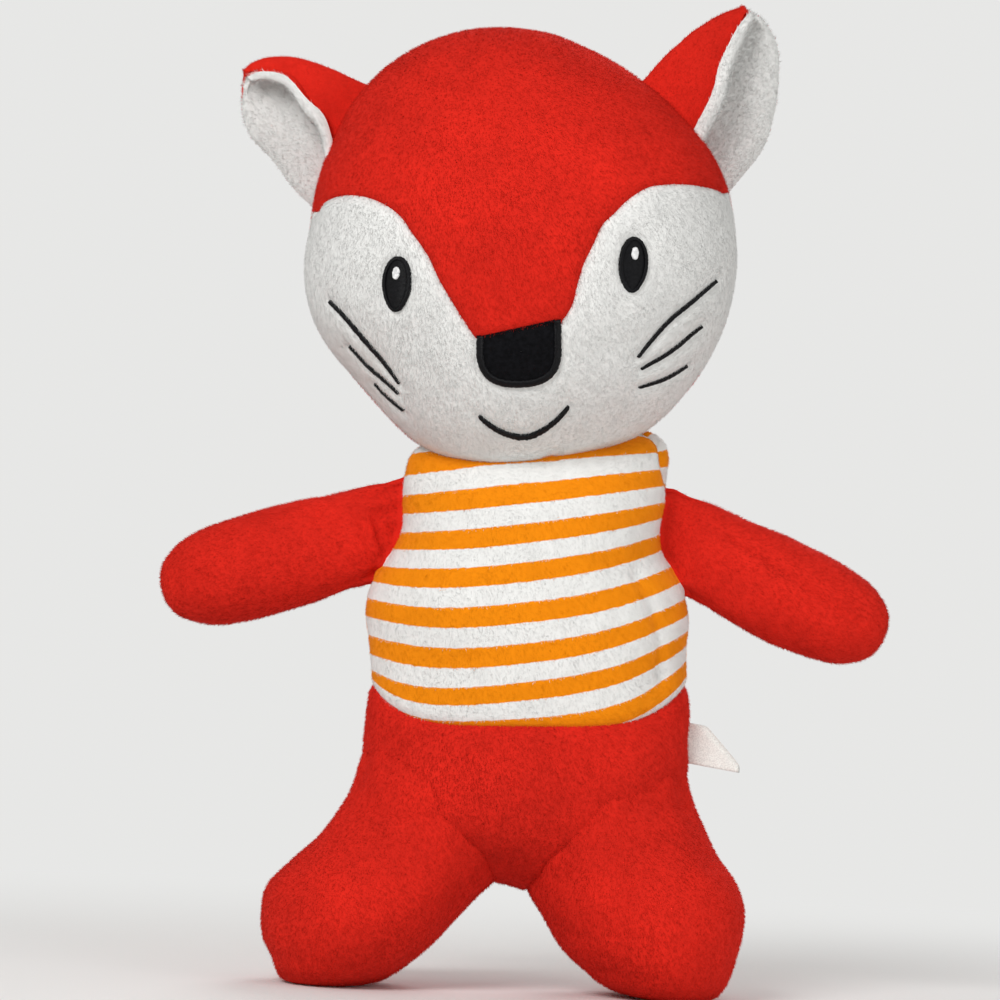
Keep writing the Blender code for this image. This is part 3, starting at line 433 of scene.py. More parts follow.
def make_piece(name, points, faces, slot, body=None):
    """A mesh object with its slot's finish, smooth shading and the body that it rides on."""
    own_name = "%s_%s" % (name, slot.split("_")[-1]) if name in frame["nodes"] else name
    mesh = bpy.data.meshes.new(own_name)
    mesh.from_pydata(np.asarray(points).tolist(), [], [list(map(int, face)) for face in faces])
    mesh.update()
    mesh.shade_smooth()
    mesh.materials.append(finishes[slot])
    piece = bpy.data.objects.new(own_name, mesh)
    bpy.context.scene.collection.objects.link(piece)
    pieces[name], slots[name] = piece, slot
    if body:
        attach(piece, body)
    return piece


# %% Close a layer of cloth with a second one
def border(faces):
    """Edges that only one face uses, in that face's direction."""
    faces = np.asarray(faces)
    edges = np.stack([faces, np.roll(faces, -1, axis=1)], -1).reshape(-1, 2)
    size = int(edges.max()) + 1
    keys, back_keys = edges[:, 0] * size + edges[:, 1], edges[:, 1] * size + edges[:, 0]
    return edges[~np.isin(keys, back_keys)]


def two_layers(faces, count):
    """Faces of a layer of count points, of the layer under it and of the strip between."""
    faces = np.asarray(faces)
    strip = [np.array([b, a, a + count, b + count]) for a, b in border(faces)]
    return [*faces, *(faces[:, ::-1] + count), *strip]


def thick(points, faces, thickness):
    """Points and faces of closed cloth: its face, its back and its border."""
    under = points - mesh_normals(points, faces) * thickness
    return np.concatenate([points, under]), two_layers(faces, len(points))


def kept(points, faces, keep):
    """The part of a mesh whose faces keep all their points, and those points' old numbers."""
    faces = np.asarray(faces)
    faces = faces[keep[faces].all(axis=1)]
    used = np.unique(faces)
    place = np.full(len(points), -1)
    place[used] = np.arange(len(used))
    return points[used], place[faces], used


# %% [markdown]
# ## Plush, thread, velvet and ribbon
#
# Plush is a knit with a short cut pile. Where the pile lies over it catches less light, and
# where it stands up it catches more. That shade and sheen is painted into its colour, mottled
# at three sizes: patches as wide as a hand's stroke, clumps of a few millimetres, and single
# fibres; the clumps and fibres are painted darker in the bump's hollows. Noise in the
# object's own space gives all three without any unwrapping, and also drives the bump. A
# photograph of the cloth would be quicker, but would repeat and stretch.


# %% A node tree with short words
def add_node(tree, kind, values=(), **settings):
    """A new node with its settings and inputs; an output of another node becomes a link."""
    node = tree.nodes.new("ShaderNode" + kind)
    for setting, value in settings.items():
        setattr(node, setting, value)
    for socket, value in dict(values).items():
        if isinstance(value, bpy.types.NodeSocket):
            tree.links.new(value, node.inputs[socket])
        else:
            node.inputs[socket].default_value = value
    return node.outputs[0]


class Finish:
    """A material's nodes, added and joined with short words."""

    def __init__(self, name, roughness, **sockets):
        self.material = bpy.data.materials.new(name)
        self.material.use_nodes = True
        self.tree = self.material.node_tree
        self.shader = self.tree.nodes["Principled BSDF"]
        self.set("Roughness", roughness)
        for socket, value in sockets.items():
            self.set(socket.replace("_", " "), value)

    def set(self, socket, value):
        self.shader.inputs[socket].default_value = value

    def add(self, kind, values=(), **settings):
        return add_node(self.tree, kind, values, **settings)

    def link(self, value, socket):
        self.tree.links.new(value, self.shader.inputs[socket])

    def noise(self, size, detail=2.0, stretch=None):
        """Noise whose patches are about size apart, in the object's own space."""
        place = self.add("TexCoord").node.outputs["Object"]
        if stretch:
            place = self.add("Mapping", {"Vector": place, "Scale": stretch})
        made = self.add("TexNoise", {"Vector": place, "Scale": 1 / size, "Detail": detail})
        return made

    def math(self, how, a, b):
        return self.add("Math", {0: a, 1: b}, operation=how)

    def ramp(self, value, stops):
        """Colours at places from 0 to 1, read by a value."""
        made = self.add("ValToRGB", {"Fac": value})
        ramp = made.node.color_ramp
        while len(ramp.elements) < len(stops):
            ramp.elements.new(0.5)
        for element, (place, colour) in zip(ramp.elements, stops):
            element.position = place
            element.color = (*colour, 1)
        return made

    def mix(self, share, first, second):
        made = self.add("Mix", {0: share, 6: first, 7: second}, data_type="RGBA")
        return made.node.outputs[2]

    def bump(self, height, distance, strength=1.0):
        values = {"Height": height, "Distance": distance, "Strength": strength}
        self.link(self.add("Bump", values), "Normal")


# %% Short-pile plush
def shade(colour, share):
    return tuple(min(value * share, 1.0) for value in colour)


def nap(finish):
    """How light the nap is painted, from 0 to 1, as painted sheen and shade, and the height of its
    clumps.
    """
    # painted sheen and shade: lighter and darker patches a hand's stroke wide, and clumps and fibres
    # painted darker where the bump is low
    sheen_and_shade_patch = finish.noise(48 * MM, 3)
    clump = finish.noise(5 * MM, 3, (1.0, 1.0, 0.6))
    fibre = finish.noise(0.9 * MM, 2)
    low = finish.math("MULTIPLY", sheen_and_shade_patch, 0.60)
    middle = finish.math("MULTIPLY", clump, 0.26)
    high = finish.math("MULTIPLY", fibre, 0.14)
    light = finish.math("ADD", finish.math("ADD", low, middle), high)
    clumps, fibres = finish.math("MULTIPLY", clump, 0.6), finish.math("MULTIPLY", fibre, 0.4)
    return light, finish.math("ADD", clumps, fibres)


def plush(name, colour, dark, light, sheen, rough):
    """Plush of one colour; dark and light are the shares of it in the nap's hollows and tips, a painted
    shade and a painted sheen.
    """
    finish = Finish(name, 0.95, Sheen_Weight=sheen, Sheen_Roughness=0.45)
    finish.set("Specular IOR Level", 0.15)
    finish.set("Sheen Tint", (*shade(colour, 1.2), 1))
    amount, height = nap(finish)
    # painted shade in the nap's hollows and painted sheen on its tips
    stops = [(0.36, shade(colour, dark)), (0.50, colour), (0.66, shade(colour, light))]
    finish.link(finish.ramp(amount, stops), "Base Color")
    finish.bump(height, 0.6 * MM, rough)
    return finish.material


RED, WHITE, ORANGE = (0.66, 0.018, 0.009), (0.82, 0.82, 0.80), (0.88, 0.26, 0.002)
finishes = {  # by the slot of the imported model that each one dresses
    "red_plush": plush("red_plush", RED, 0.84, 1.16, 0.25, 0.3),
    "white_plush": plush("white_plush", WHITE, 0.93, 1.05, 0.20, 0.15),
}
print("a patch of nap is about 48 mm wide, a clump 5 mm and a fibre 0.9 mm")

# %% Striped shirt plush: stripes printed across the cloth
STRIPE_PITCH, STRIPE_SHARE = 17.8 * MM, 0.49
STRIPE_START = 131 * MM  # an orange stripe would begin this high, were they all level
STRIPE_SLANT, STRIPE_BOW = 0.0037 / MM, 0.00007 / MM**2  # how they leave the hem's line
STRIPE_TILT, STRIPE_SQUEEZE = 0.00185 / MM, 0.15  # their slope higher up; how they crowd at the hem
SLANT_REACH, SQUEEZE_REACH = 0.3, 0.14  # how far above the hem that goes, in torso heights
BACK_SHIFT = 0.45  # the back was cut without matching its stripes to the front's


def shirt_finish():
    """Plush whose colour is white or orange, by each point's place among the stripes."""
    finish = Finish("shirt_plush", 0.95, Sheen_Weight=0.05, Sheen_Roughness=0.45)
    finish.set("Specular IOR Level", 0.15)
    amount, height = nap(finish)
    wander = finish.math("MULTIPLY", finish.noise(3 * MM, 2), 0.06)
    place = finish.add("Attribute", attribute_name="stripe").node.outputs["Fac"]
    place = finish.math("FRACT", finish.math("ADD", place, finish.math("SUBTRACT", wander, 0.03)), 0)
    edge = 0.012
    stops = [(0.0, (1, 1, 1)), (STRIPE_SHARE - edge, (1, 1, 1)), (STRIPE_SHARE + edge, (0, 0, 0))]
    stops += [(1 - 2 * edge, (0, 0, 0)), (1.0, (1, 1, 1))]
    printed = finish.ramp(place, stops)
    # the nap's painted shade and sheen, on the white cloth and on the orange stripes
    tint = [[(0.36, shade(c, 0.92)), (0.50, c), (0.66, shade(c, 1.05))] for c in (WHITE, ORANGE)]
    cloth, dye = (finish.ramp(amount, stops) for stops in tint)
    finish.link(finish.mix(printed, cloth, dye), "Base Color")
    finish.bump(height, 0.6 * MM, 0.15)
    return finish.material


finishes["shirt_plush"] = shirt_finish()
print("a stripe and its gap are", round(STRIPE_PITCH / MM, 1), "mm")


# %% Velvet, thread, filling and ribbon
def plain(name, colour, roughness, grain, depth, spread):
    """Cloth or thread of one colour, whose grain is a fine unevenness of tone and height."""
    finish = Finish(name, roughness)
    finish.set("Specular IOR Level", 0.14 if roughness < 0.5 else 0.1)
    amount = finish.noise(grain, 3)
    stops = [(0.35, shade(colour, 1 - spread)), (0.65, shade(colour, 1 + spread))]
    finish.link(finish.ramp(amount, stops), "Base Color")
    finish.bump(finish.noise(grain / 2, 2), depth, 0.6)
    return finish.material


for slot, name, colour, roughness, grain, depth, spread in (  # grain and depth in mm
    ("black_velvet", "black_velvet", (0.004, 0.004, 0.005), 1.0, 2, 0.2, 0.4),
    ("black_thread", "black_thread", (0.0035, 0.0035, 0.0045), 0.42, 1.5, 0.05, 0.4),
    ("white_thread", "white_thread", (0.84, 0.84, 0.84), 0.35, 1.5, 0.05, 0.15),
    ("label_tape", "label_ribbon", (0.80, 0.80, 0.76), 0.6, 0.6, 0.12, 0.15),
    ("stuffing", "fibre_filling", (0.84, 0.84, 0.82), 1.0, 6, 1, 0.15),
):
    finishes[slot] = plain(name, colour, roughness, grain * MM, depth * MM, spread)
print("finishes:", list(finishes))

# %% [markdown]
# ## The skins of torso, arms and legs
#
# Each form is swollen and pulled in as one surface and only then cut into its panels, so
# two panels that meet in a seam share its points. The limbs are sewn to the torso: near
# it both surfaces rise towards each other, and the seam itself is drawn in. Arms and legs
# are cut off a little way inside the torso, where no eye reaches.


# %% Sew one form
def sewn(name, seed, seams, neighbours, still=None):
    """Stuffs and stitches a form.

    seams is a list of lines with their depth and width; neighbours maps another form to
    the reach of the soft rise towards it and the depth of the seam between them. still is
    a share per point that holds it back.
    """
    grid = forms[name]["points"]
    points, normals = grid.reshape(-1, 3), grid_normals(grid).reshape(-1, 3)
    pulls = [valley(line_distance(points, line), depth, width) for line, depth, width in seams]
    move = swell(points, seed) - np.maximum.reduce(pulls)
    for other, (reach, depth) in neighbours.items():
        far = outside(trees[other], points)
        near = np.clip(1 - np.maximum(far, 0) / reach, 0, 1)
        move += reach / 4 * near**2 - valley(np.abs(far), depth, JOIN_WIDTH)
    if still is not None:
        move *= still.reshape(-1)
    forms[name]["move"] = move.reshape(grid.shape[:2])
    made = points + normals * move[:, None]
    made[:, 2] = np.maximum(made[:, 2], 0) if name in LEGS else made[:, 2]
    forms[name]["sewn"] = made.reshape(grid.shape)


def column(name, turn):
    """The seam that runs along a form at a turn, as a line."""
    count = len(forms[name]["turns"])
    return along_line(forms[name]["points"][:, round(turn / FULL_TURN * count) % count], MM)


def row(name, at):
    """The seam that runs round a form at a row number."""
    shape, _, _ = SHAPES[name]
    return shape(np.full(400, float(at)), np.linspace(0, FULL_TURN, 400))


# %% Sew the torso
# how deep each kind of seam pulls the cloth in, and how wide its valley is
SIDE_SEAM, HEM_SEAM, SIDE_FOLD = (1.6 * MM, 2.6 * MM), (1.5 * MM, 2.2 * MM), (1.3 * MM, 3.6 * MM)
# how far round a limb the cloth rises towards it, and how deep the seam between them is
ARM_JOIN, LEG_JOIN, JOIN_WIDTH = (7 * MM, 1.4 * MM), (15 * MM, 1.0 * MM), 2.4 * MM
torso_seams = [(column("torso", turn), *SIDE_SEAM) for turn in (0, math.pi)]
torso_seams.append((row("torso", HEM_ROW), *HEM_SEAM))
fold_line = torso_at(np.linspace(6.8, 9.6, 80), np.radians(np.linspace(-33, -40, 80)))
torso_seams.append((fold_line, *SIDE_FOLD))
sewn("torso", 1, torso_seams, {**dict.fromkeys(ARMS, ARM_JOIN), **dict.fromkeys(LEGS, LEG_JOIN)})
print("the torso has", len(torso_seams), "seams and folds")


# %% Panels of a sewn form
def add_panel(name, form, rows, columns, slot, keep=None):
    """A panel cut from a sewn form between rows and columns, as closed cloth."""
    grid = forms[form]["sewn"][rows[0] : rows[1] + 1]
    count = grid.shape[1]
    grid = grid[:, np.arange(columns[0], columns[1] + 1) % count]
    points, faces = grid.reshape(-1, 3), grid_faces(*grid.shape[:2], False)
    used = np.arange(len(points))
    if keep is not None:
        points, faces, used = kept(points, faces, keep(points))
    solid, sides = thick(points, faces, CLOTH)
    piece = make_piece(name, solid, sides, slot)
    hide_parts(name)
    skins[name] = (points, faces)
    return piece, used


CLOTH = 1.2 * MM

# %% Shirt and pants, with the stripes' count at every point of the shirt
turn_count = len(forms["torso"]["turns"])
half = turn_count // 2
hem = int(np.argmin(np.abs(forms["torso"]["rows"] - HEM_ROW)))
top = len(forms["torso"]["rows"]) - 1
TUCKED_IN, NECK_BAND = 7 * MM, 28 * MM  # cloth kept inside the head; how far below the neck a bend with it would reach, only recorded
NECK = Vector(JOINTS["head_turn"]["pos_m"])


def under_head(points):
    return outside(trees["head"], points) > -TUCKED_IN


def stripe_count(height, across):
    """How many stripes up the shirt a point is; orange begins at each whole number."""
    near_hem = np.clip(1 - (height - HEM_HEIGHT) / SLANT_REACH, 0, 1)
    lowest = np.clip(1 - (height - HEM_HEIGHT) / SQUEEZE_REACH, 0, 1)
    slant = STRIPE_SLANT * across + STRIPE_BOW * np.maximum(across, 0) ** 2
    lean = near_hem * slant + (1 - near_hem) * STRIPE_TILT * across
    above = TORSO_HEIGHT * height + TORSO_BOTTOM[2] - STRIPE_START
    return above / STRIPE_PITCH - lean - STRIPE_SQUEEZE * lowest


for name, rows, columns in (
    ("pants_front", (0, hem), (half, turn_count)),
    ("pants_back", (0, hem), (0, half)),
    ("shirt_front", (hem, top), (half, turn_count)),
    ("shirt_back", (hem, top), (0, half)),
):
    striped = name.startswith("shirt")
    slot, keep = ("shirt_plush", under_head) if striped else ("red_plush", None)
    piece, used = add_panel(name, "torso", rows, columns, slot, keep)
    follows[name] = ("torso", "neck", NECK - Vector((0, 0, NECK_BAND)), NECK) if striped else "torso"
    if not striped:
        follow(piece, name)
        continue
    # the stripes follow the cloth, so each point keeps its height on the flat form
    place = np.repeat(unpacked(read_rows(TORSO_ROWS, forms["torso"]["rows"]))[0], turn_count)
    place = place.reshape(-1, turn_count)[rows[0] : rows[1] + 1]
    place = place[:, np.arange(columns[0], columns[1] + 1) % turn_count].reshape(-1)[used]
    phase = stripe_count(place, skins[name][0][:, 0] - TORSO_BOTTOM[0])
    phase += BACK_SHIFT if name == "shirt_back" else 0
    stripe = piece.data.attributes.new("stripe", "FLOAT", "POINT")
    stripe.data.foreach_set("value", np.tile(phase, 2))
    follow(piece, name)
    skins[name] += (phase,)
print("shirt and pants:", sum(len(skins[n][1]) for n in skins), "faces on their outside")


# %% Panels and folds of a limb
def limb_panels(name, halves, trim, start, end):
    """Front and back panels of a limb."""

    def off_torso(points):
        return outside(trees["torso"], points) > -trim

    count = len(forms[name]["turns"])
    for part, (first, last) in halves.items():
        columns = (round(first * count), round(last * count))
        rows = (0, len(forms[name]["rows"]) - 1)
        panel = "%s_%s_panel" % (name, part)
        piece, _ = add_panel(panel, name, rows, columns, "red_plush", off_torso)
        follows[panel] = ("torso", name, start, end)
        follow(piece, panel)


def folds(name, amount, count, reach):
    """Small folds that fan out from where a limb is sewn in."""
    points = forms[name]["points"]
    far = np.maximum(outside(trees["torso"], points), 0)
    turns = forms[name]["turns"][None, :]
    wave = np.sin(count * turns + 3 * np.sin(2 * turns)) + 0.6 * np.sin((count + 4) * turns + 1)
    move = amount * wave * np.exp(-far / reach)
    forms[name]["sewn"] += grid_normals(points) * move[..., None]


# %% Arms, drawn into little folds at the shoulder
ARM_SEAM, ARM_SEAM_START = (1.2 * MM, 2.2 * MM), 36 * MM  # it shows this far off the shoulder
CLOSING_SEAM, CLOSING_SEAM_RUN = (1.3 * MM, 1.6 * MM), (0.22, 0.86)  # from and to, along the arm
GATHERS, GATHER_WIDTH = [(0.07, 1.5 * MM), (0.13, 0.8 * MM)], 2.0 * MM  # how far along, how deep
ARM_FOLDS, ARM_FOLD_REACH = {"left_arm": (0.8 * MM, 9), "right_arm": (0.45 * MM, 7)}, 9 * MM
ARM_TRIM, ARM_BEND = 4 * MM, 25 * MM  # cloth kept inside the torso; how far past the joint a bend would reach, only recorded
for seed, (name, (side, shoulder, _, _)) in enumerate(ARMS.items()):
    seams = []
    for turn in (0, math.pi):
        line = column(name, turn)
        clear = np.linalg.norm(line - shoulder, axis=1) > ARM_SEAM_START
        seams.append((line[clear], *ARM_SEAM))
    places = [place for place, _, _ in ARM_ROWS]
    if name == "right_arm":
        closed = np.interp(np.linspace(*CLOSING_SEAM_RUN, 60), places, range(len(places)))
        closing_seam = arm_at(name, closed, np.radians(np.linspace(60, 86, 60)))
        seams.append((closing_seam, *CLOSING_SEAM))
    else:
        for place, depth in GATHERS:
            gather = np.full(40, np.interp(place, places, range(len(places))))
            gather = arm_at(name, gather, np.radians(np.linspace(205, 285, 40)))
            seams.append((gather, depth, GATHER_WIDTH))
    sewn(name, 11 + seed, seams, {"torso": ARM_JOIN})
    folds(name, *ARM_FOLDS[name], ARM_FOLD_REACH)
    along = Vector(arm_directions(name)[0])
    front_half = (0.5, 1.0) if side < 0 else (0.0, 0.5)
    back_half = (0.0, 0.5) if side < 0 else (0.5, 1.0)
    start = Vector(shoulder)
    end = start + along * ARM_BEND
    limb_panels(name, {"front": front_half, "back": back_half}, ARM_TRIM, start, end)

# %% Legs, creased where the foot turns forward
CREASES = {  # row, from and to turn in degrees, depth
    "left_leg": [(8.9, -150, -75, 0.6 * MM), (8.1, -145, -85, 0.5 * MM)],
    "right_leg": [(9.6, -70, -25, 0.9 * MM)],
}
LEG_SEAM, CREASE_WIDTH = (1.4 * MM, 2.6 * MM), 2.4 * MM
LEG_TRIM, LEG_BEND, FLAT_SOLE = 5 * MM, 30 * MM, 9 * MM  # the sole stays flat up to the last
LEG_FOLDS = (0.35 * MM, 11, 12 * MM)  # their height, how many, and their reach
for seed, name in enumerate(LEGS):
    grid = forms[name]["points"]
    seams = [(column(name, turn), *LEG_SEAM) for turn in (0, math.pi)]
    for at, first, last, depth in CREASES[name]:
        crease = leg_at(name, np.full(50, at), np.radians(np.linspace(first, last, 50)))
        seams.append((crease, depth, CREASE_WIDTH))
    still = np.clip(grid[..., 2] / FLAT_SOLE, 0, 1)
    sewn(name, 21 + seed, seams, {"torso": LEG_JOIN}, still * still * (3 - 2 * still))
    folds(name, *LEG_FOLDS)
    place = Vector(JOINTS[name + "_swing"]["pos_m"])
    axis = Vector(JOINTS[name + "_swing"]["axis"])
    down = axis.cross(Vector((0, 1, 0)))
    down = down if down.z < 0 else -down
    forms[name]["sewn"][..., 2] = np.maximum(forms[name]["sewn"][..., 2], 0)
    end = place + down * LEG_BEND
    limb_panels(name, {"front": (0.5, 1.0), "back": (0.0, 0.5)}, LEG_TRIM, place, end)
print("limbs sewn:", [name for name in pieces if "panel" in name])

# %% [markdown]
# ## Filling
#
# Under the skins is polyester filling. It is never seen, but it gives the model its inside,
# and it is what the cloth rests on. Each body part gets a closed, slightly smaller form,
# capped where it is cut off. It could be left out of a picture; a model that is taken
# apart needs it.


# %% Closed fillings inside the skins
FILLING_GAP, HEAD_FILLING_GAP = 3 * MM, 4 * MM  # how far a filling stays under its skin


def add_filling(name, grid, gap):
    """A closed form a little inside a grid of points; gap is one depth or one per point."""
    rows, columns = grid.shape[:2]
    points = grid - grid_normals(grid) * np.asarray(gap)[..., None]
    points = points[1:-1].reshape(-1, 3)
    faces = [list(face) for face in grid_faces(rows - 2, columns, True)]
    faces.append(list(range(columns))[::-1])
    faces.append([(rows - 3) * columns + k for k in range(columns)])
    piece = make_piece(name + "_filling", points, faces, "stuffing")
    return piece


def rows_beyond(name, far):
    """Which rows of a form lie this far outside the torso with all their points."""
    return outside(trees["torso"], forms[name]["points"]).min(axis=1) > far


def gap_under(name):
    """How deep the filling lies under a form, so that it stays below every seam."""
    low = np.minimum(forms[name]["move"], 0)
    shifts = [(up, on) for up in (-2, -1, 0, 1, 2) for on in (-2, -1, 0, 1, 2)]
    return FILLING_GAP - np.minimum.reduce([np.roll(low, shift, (0, 1)) for shift in shifts])


# %% Fill torso, arms and legs
below_neck = np.s_[2:-16:2, ::2]  # every other point of the torso, but not its ends
torso_filling = add_filling("torso", forms["torso"]["points"][below_neck], gap_under("torso")[below_neck])
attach(torso_filling, "torso")
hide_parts("torso_stuffing")
for name in (*ARMS, *LEGS):
    clear = rows_beyond(name, 1 * MM)
    grid, gap = forms[name]["points"][clear], gap_under(name)[clear]
    piece = add_filling(name, grid[::2, ::2], gap[::2, ::2])
    follow(piece, name + "_front_panel")
    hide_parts(name + "_stuffing")
print("fillings:", [name for name in pieces if "filling" in name])

# %% [markdown]
# ## The head
#
# The front of the head is a red crown and a white face, which meet in a curved seam: two
# arches over the cheeks and a peak down to the nose. A grid can't follow that curve, so
# the front is flattened, as a pattern maker would, filled with evenly spaced points, cut
# along the curve into triangles, and bent back over the form. The back is one panel.

# %% The crown's edge, as a line in the front view
CROWN_EDGE = [  # across and up from the middle of the head, in head radii
    [(-1.3, -0.04), (-0.99, 0.076), (-0.923, 0.135), (-0.831, 0.158), (-0.728, 0.148),
     (-0.633, 0.111), (-0.562, 0.059), (-0.507, -0.013), (-0.428, -0.116),
     (-0.372, -0.221), (-0.293, -0.342), (-0.19, -0.488)],
    [(-0.19, -0.488), (0.200, -0.398)],
    [(0.200, -0.398), (0.244, -0.318), (0.264, -0.229), (0.288, -0.13), (0.33, -0.031),
     (0.367, 0.059), (0.42, 0.117), (0.478, 0.18), (0.563, 0.243), (0.645, 0.267),
     (0.775, 0.281), (0.882, 0.277), (0.957, 0.258), (1.3, 0.16)],
]


def in_view(shares):
    """Places in the front view, from shares of the head's radius."""
    shares = np.asarray(shares, float)
    return HEAD_MIDDLE[[0, 2]] + HEAD_RADIUS * shares


def eased(knots, spacing):
    """A smooth line through knots, at an even spacing."""
    knots = np.asarray(knots, float)
    return along_line(read_rows(knots, np.linspace(0, len(knots) - 1, 30 * len(knots))), spacing)


edge_parts = [eased(in_view(knots), 1.5 * MM) for knots in CROWN_EDGE]
edge_view = np.concatenate([edge_parts[0], edge_parts[1][1:-1], edge_parts[2]])


# %% Flatten the front of the head
dips = np.linspace(0, math.pi / 2, 400)
meridian = head_at(dips, np.full(400, math.pi / 2))[0]
reach_flat = lengths_along(meridian)
FLAT_RADIUS = reach_flat[-1]


def bent(flat):
    """Points and normals on the head's front, from places on its flat pattern."""
    angle = np.arctan2(flat[:, 0], flat[:, 1])
    return head_at(np.interp(np.hypot(*flat.T), reach_flat, dips), angle)


def flattened(view):
    """Places on the flat pattern, from places in the front view."""
    across, up = (view - HEAD_MIDDLE[[0, 2]]).T
    angle = np.arctan2(across, up)
    share = np.hypot(across, up) / head_radius(angle)
    reach = np.interp(np.arcsin(np.minimum(share, 1) ** (FULLNESS / 2)), dips, reach_flat)
    return np.stack([reach * np.sin(angle), reach * np.cos(angle)], 1), share < 0.995


rim_flat = FLAT_RADIUS * np.stack([np.sin(RIM), np.cos(RIM)], 1)
edge_flat, inside = flattened(edge_view)
edge_flat = edge_flat[inside]
ends = [int(np.argmin(np.linalg.norm(rim_flat - place, axis=1))) for place in edge_flat[[0, -1]]]
print("the flat pattern is", round(2 * FLAT_RADIUS / MM), "mm wide")
print("the crown's edge on it has", len(edge_flat), "points")


# %% Cut the pattern into triangles
def hexagons(radius, spacing):
    """Evenly spaced places in a disc."""
    rows = np.arange(-radius, radius, spacing * math.sqrt(3) / 2)
    own_row = np.arange(-radius, radius, spacing)
    places = np.array([(x + (k % 2) * spacing / 2, y) for k, y in enumerate(rows) for x in own_row])
    return places[np.hypot(*places.T) < radius - 0.7 * spacing]


seeds = hexagons(FLAT_RADIUS, STEP)
edge_3d = np.pad(edge_flat, ((0, 0), (0, 1)))
seeds = seeds[line_distance(np.pad(seeds, ((0, 0), (0, 1))), edge_3d) > 0.6 * STEP]
everything = np.concatenate([rim_flat, edge_flat, seeds])
count = len(rim_flat)
loop = [(k, (k + 1) % count) for k in range(count)]
chain = [ends[0], *range(count, count + len(edge_flat)), ends[1]]
cuts = loop + list(zip(chain, chain[1:]))
found = delaunay_2d_cdt([Vector(place) for place in everything], cuts, [], 1, 1e-7)
flat = np.array([tuple(place) for place in found[0]])
triangles = np.array(found[2])
print("the front of the head is", len(triangles), "triangles")


# %% Which triangles are crown, and which are face
def within(places, outline):
    """Whether places are inside an outline."""
    x, y = places.T
    inside = np.zeros(len(places), bool)
    for (ax, ay), (bx, by) in zip(outline, np.roll(outline, -1, axis=0)):
        if ay != by:
            inside ^= ((ay > y) != (by > y)) & (x < (bx - ax) * (y - ay) / (by - ay) + ax)
    return inside


upper = [k % count for k in range(ends[1], ends[1] - count, -1)]
upper = upper[: upper.index(ends[0]) + 1]
crown_outline = np.concatenate([edge_flat, rim_flat[upper]])
is_crown = within(flat[triangles].mean(axis=1), crown_outline)
print("crown", int(is_crown.sum()), "and face", int((~is_crown).sum()), "triangles")

# %% [markdown]
# ## Lines of the embroidered face
#
# Eyes, nose, mouth and whiskers are lines in the front view. They are set down before
# the head is swollen, because the stitches press the pile around them flat.

# %% Places of the embroidery
EYES = {"left_eye": (-0.562, -0.243), "right_eye": (0.514, -0.106)}
EYE_SIZE, EYE_TILT, EYE_POINT = (6.5 * MM, 11.7 * MM), math.radians(-1), 0.12
SHINE_SIZE, SHINE_RISE = (1.7 * MM, 2.8 * MM), 4.4 * MM
NOSE_TOP, NOSE_TILT, NOSE_TOP_RISE = (0.006, -0.442), math.radians(3), 3.4 * MM
NOSE_HALF_WIDTH, NOSE_HEIGHT, NOSE_BORDER = 19 * MM, 24.2 * MM, 3.8 * MM
NOSE_ROUND, NOSE_FULLNESS = 17 * MM, 2.7
MOUTH_PLACE, MOUTH_TILT = (0.062, -0.909), math.radians(7.9)
MOUTH_HALF, MOUTH_SAG, MOUTH_WIDTH = 20 * MM, 11 * MM, 2.4 * MM
WHISKERS = {  # start, bend and end, in head radii
    "left_whisker_upper": [(-0.88, -0.33), (-0.71, -0.51), (-0.54, -0.71)],
    "left_whisker_middle": [(-0.78, -0.535), (-0.67, -0.65), (-0.54, -0.755)],
    "left_whisker_lower": [(-0.66, -0.705), (-0.60, -0.765), (-0.51, -0.825)],
    "right_whisker_upper": [(0.915, -0.155), (0.69, -0.37), (0.56, -0.535)],
    "right_whisker_middle": [(0.86, -0.37), (0.71, -0.50), (0.575, -0.585)],
    "right_whisker_lower": [(0.80, -0.555), (0.69, -0.62), (0.57, -0.67)],
}


# %% Outlines of eyes and nose
def turned(places, middle, tilt):
    """Places turned to the left by a tilt in the front view and put about a middle."""
    cosine, sine = math.cos(tilt), math.sin(tilt)
    return middle + np.asarray(places) @ np.array([[cosine, sine], [-sine, cosine]])


def eye_outline(name, size=EYE_SIZE, rise=0.0, point=EYE_POINT, count=96):
    angle = np.linspace(0, FULL_TURN, count, endpoint=False)
    drop = point * np.maximum(-np.sin(angle), 0) ** 6
    places = np.stack([size[0] * np.cos(angle), size[1] * (np.sin(angle) - drop) + rise], 1)
    return turned(places, in_view(EYES[name]), EYE_TILT)


def nose_outline(inset=0.0, top=0.0):
    """The nose from its top left corner down round to its top right corner."""
    side, bowl = NOSE_HALF_WIDTH - inset, NOSE_ROUND - inset
    angle = np.linspace(0, math.pi, 90)
    power = 2 / NOSE_FULLNESS
    across = -side * np.sign(np.cos(angle)) * np.abs(np.cos(angle)) ** power
    down = NOSE_ROUND - NOSE_HEIGHT - bowl * np.abs(np.sin(angle)) ** power
    round_end = np.stack([across, down], 1).tolist()
    corners = [[-side, top - NOSE_TOP_RISE], *round_end, [side, top + NOSE_TOP_RISE]]
    return along_line(turned(corners, in_view(NOSE_TOP), NOSE_TILT), 0.4 * MM)


# %% Every stitched line
share = np.linspace(-1, 1, 121)
mouth_places = np.stack([MOUTH_HALF * share, MOUTH_SAG * share**2], 1)
mouth_line = turned(mouth_places, in_view(MOUTH_PLACE), MOUTH_TILT)
whisker_lines = {name: eased(in_view(knots), 0.4 * MM) for name, knots in WHISKERS.items()}
stitched_view = [eye_outline(name) for name in EYES] + [nose_outline(), mouth_line]
stitched_view = np.concatenate(stitched_view + list(whisker_lines.values()))
print("embroidery lines have", len(stitched_view), "points")

# %% Swell and sew the head
CHIN_DART = in_view([(0.20, -0.98), (0.17, -1.01), (0.15, -1.04)])
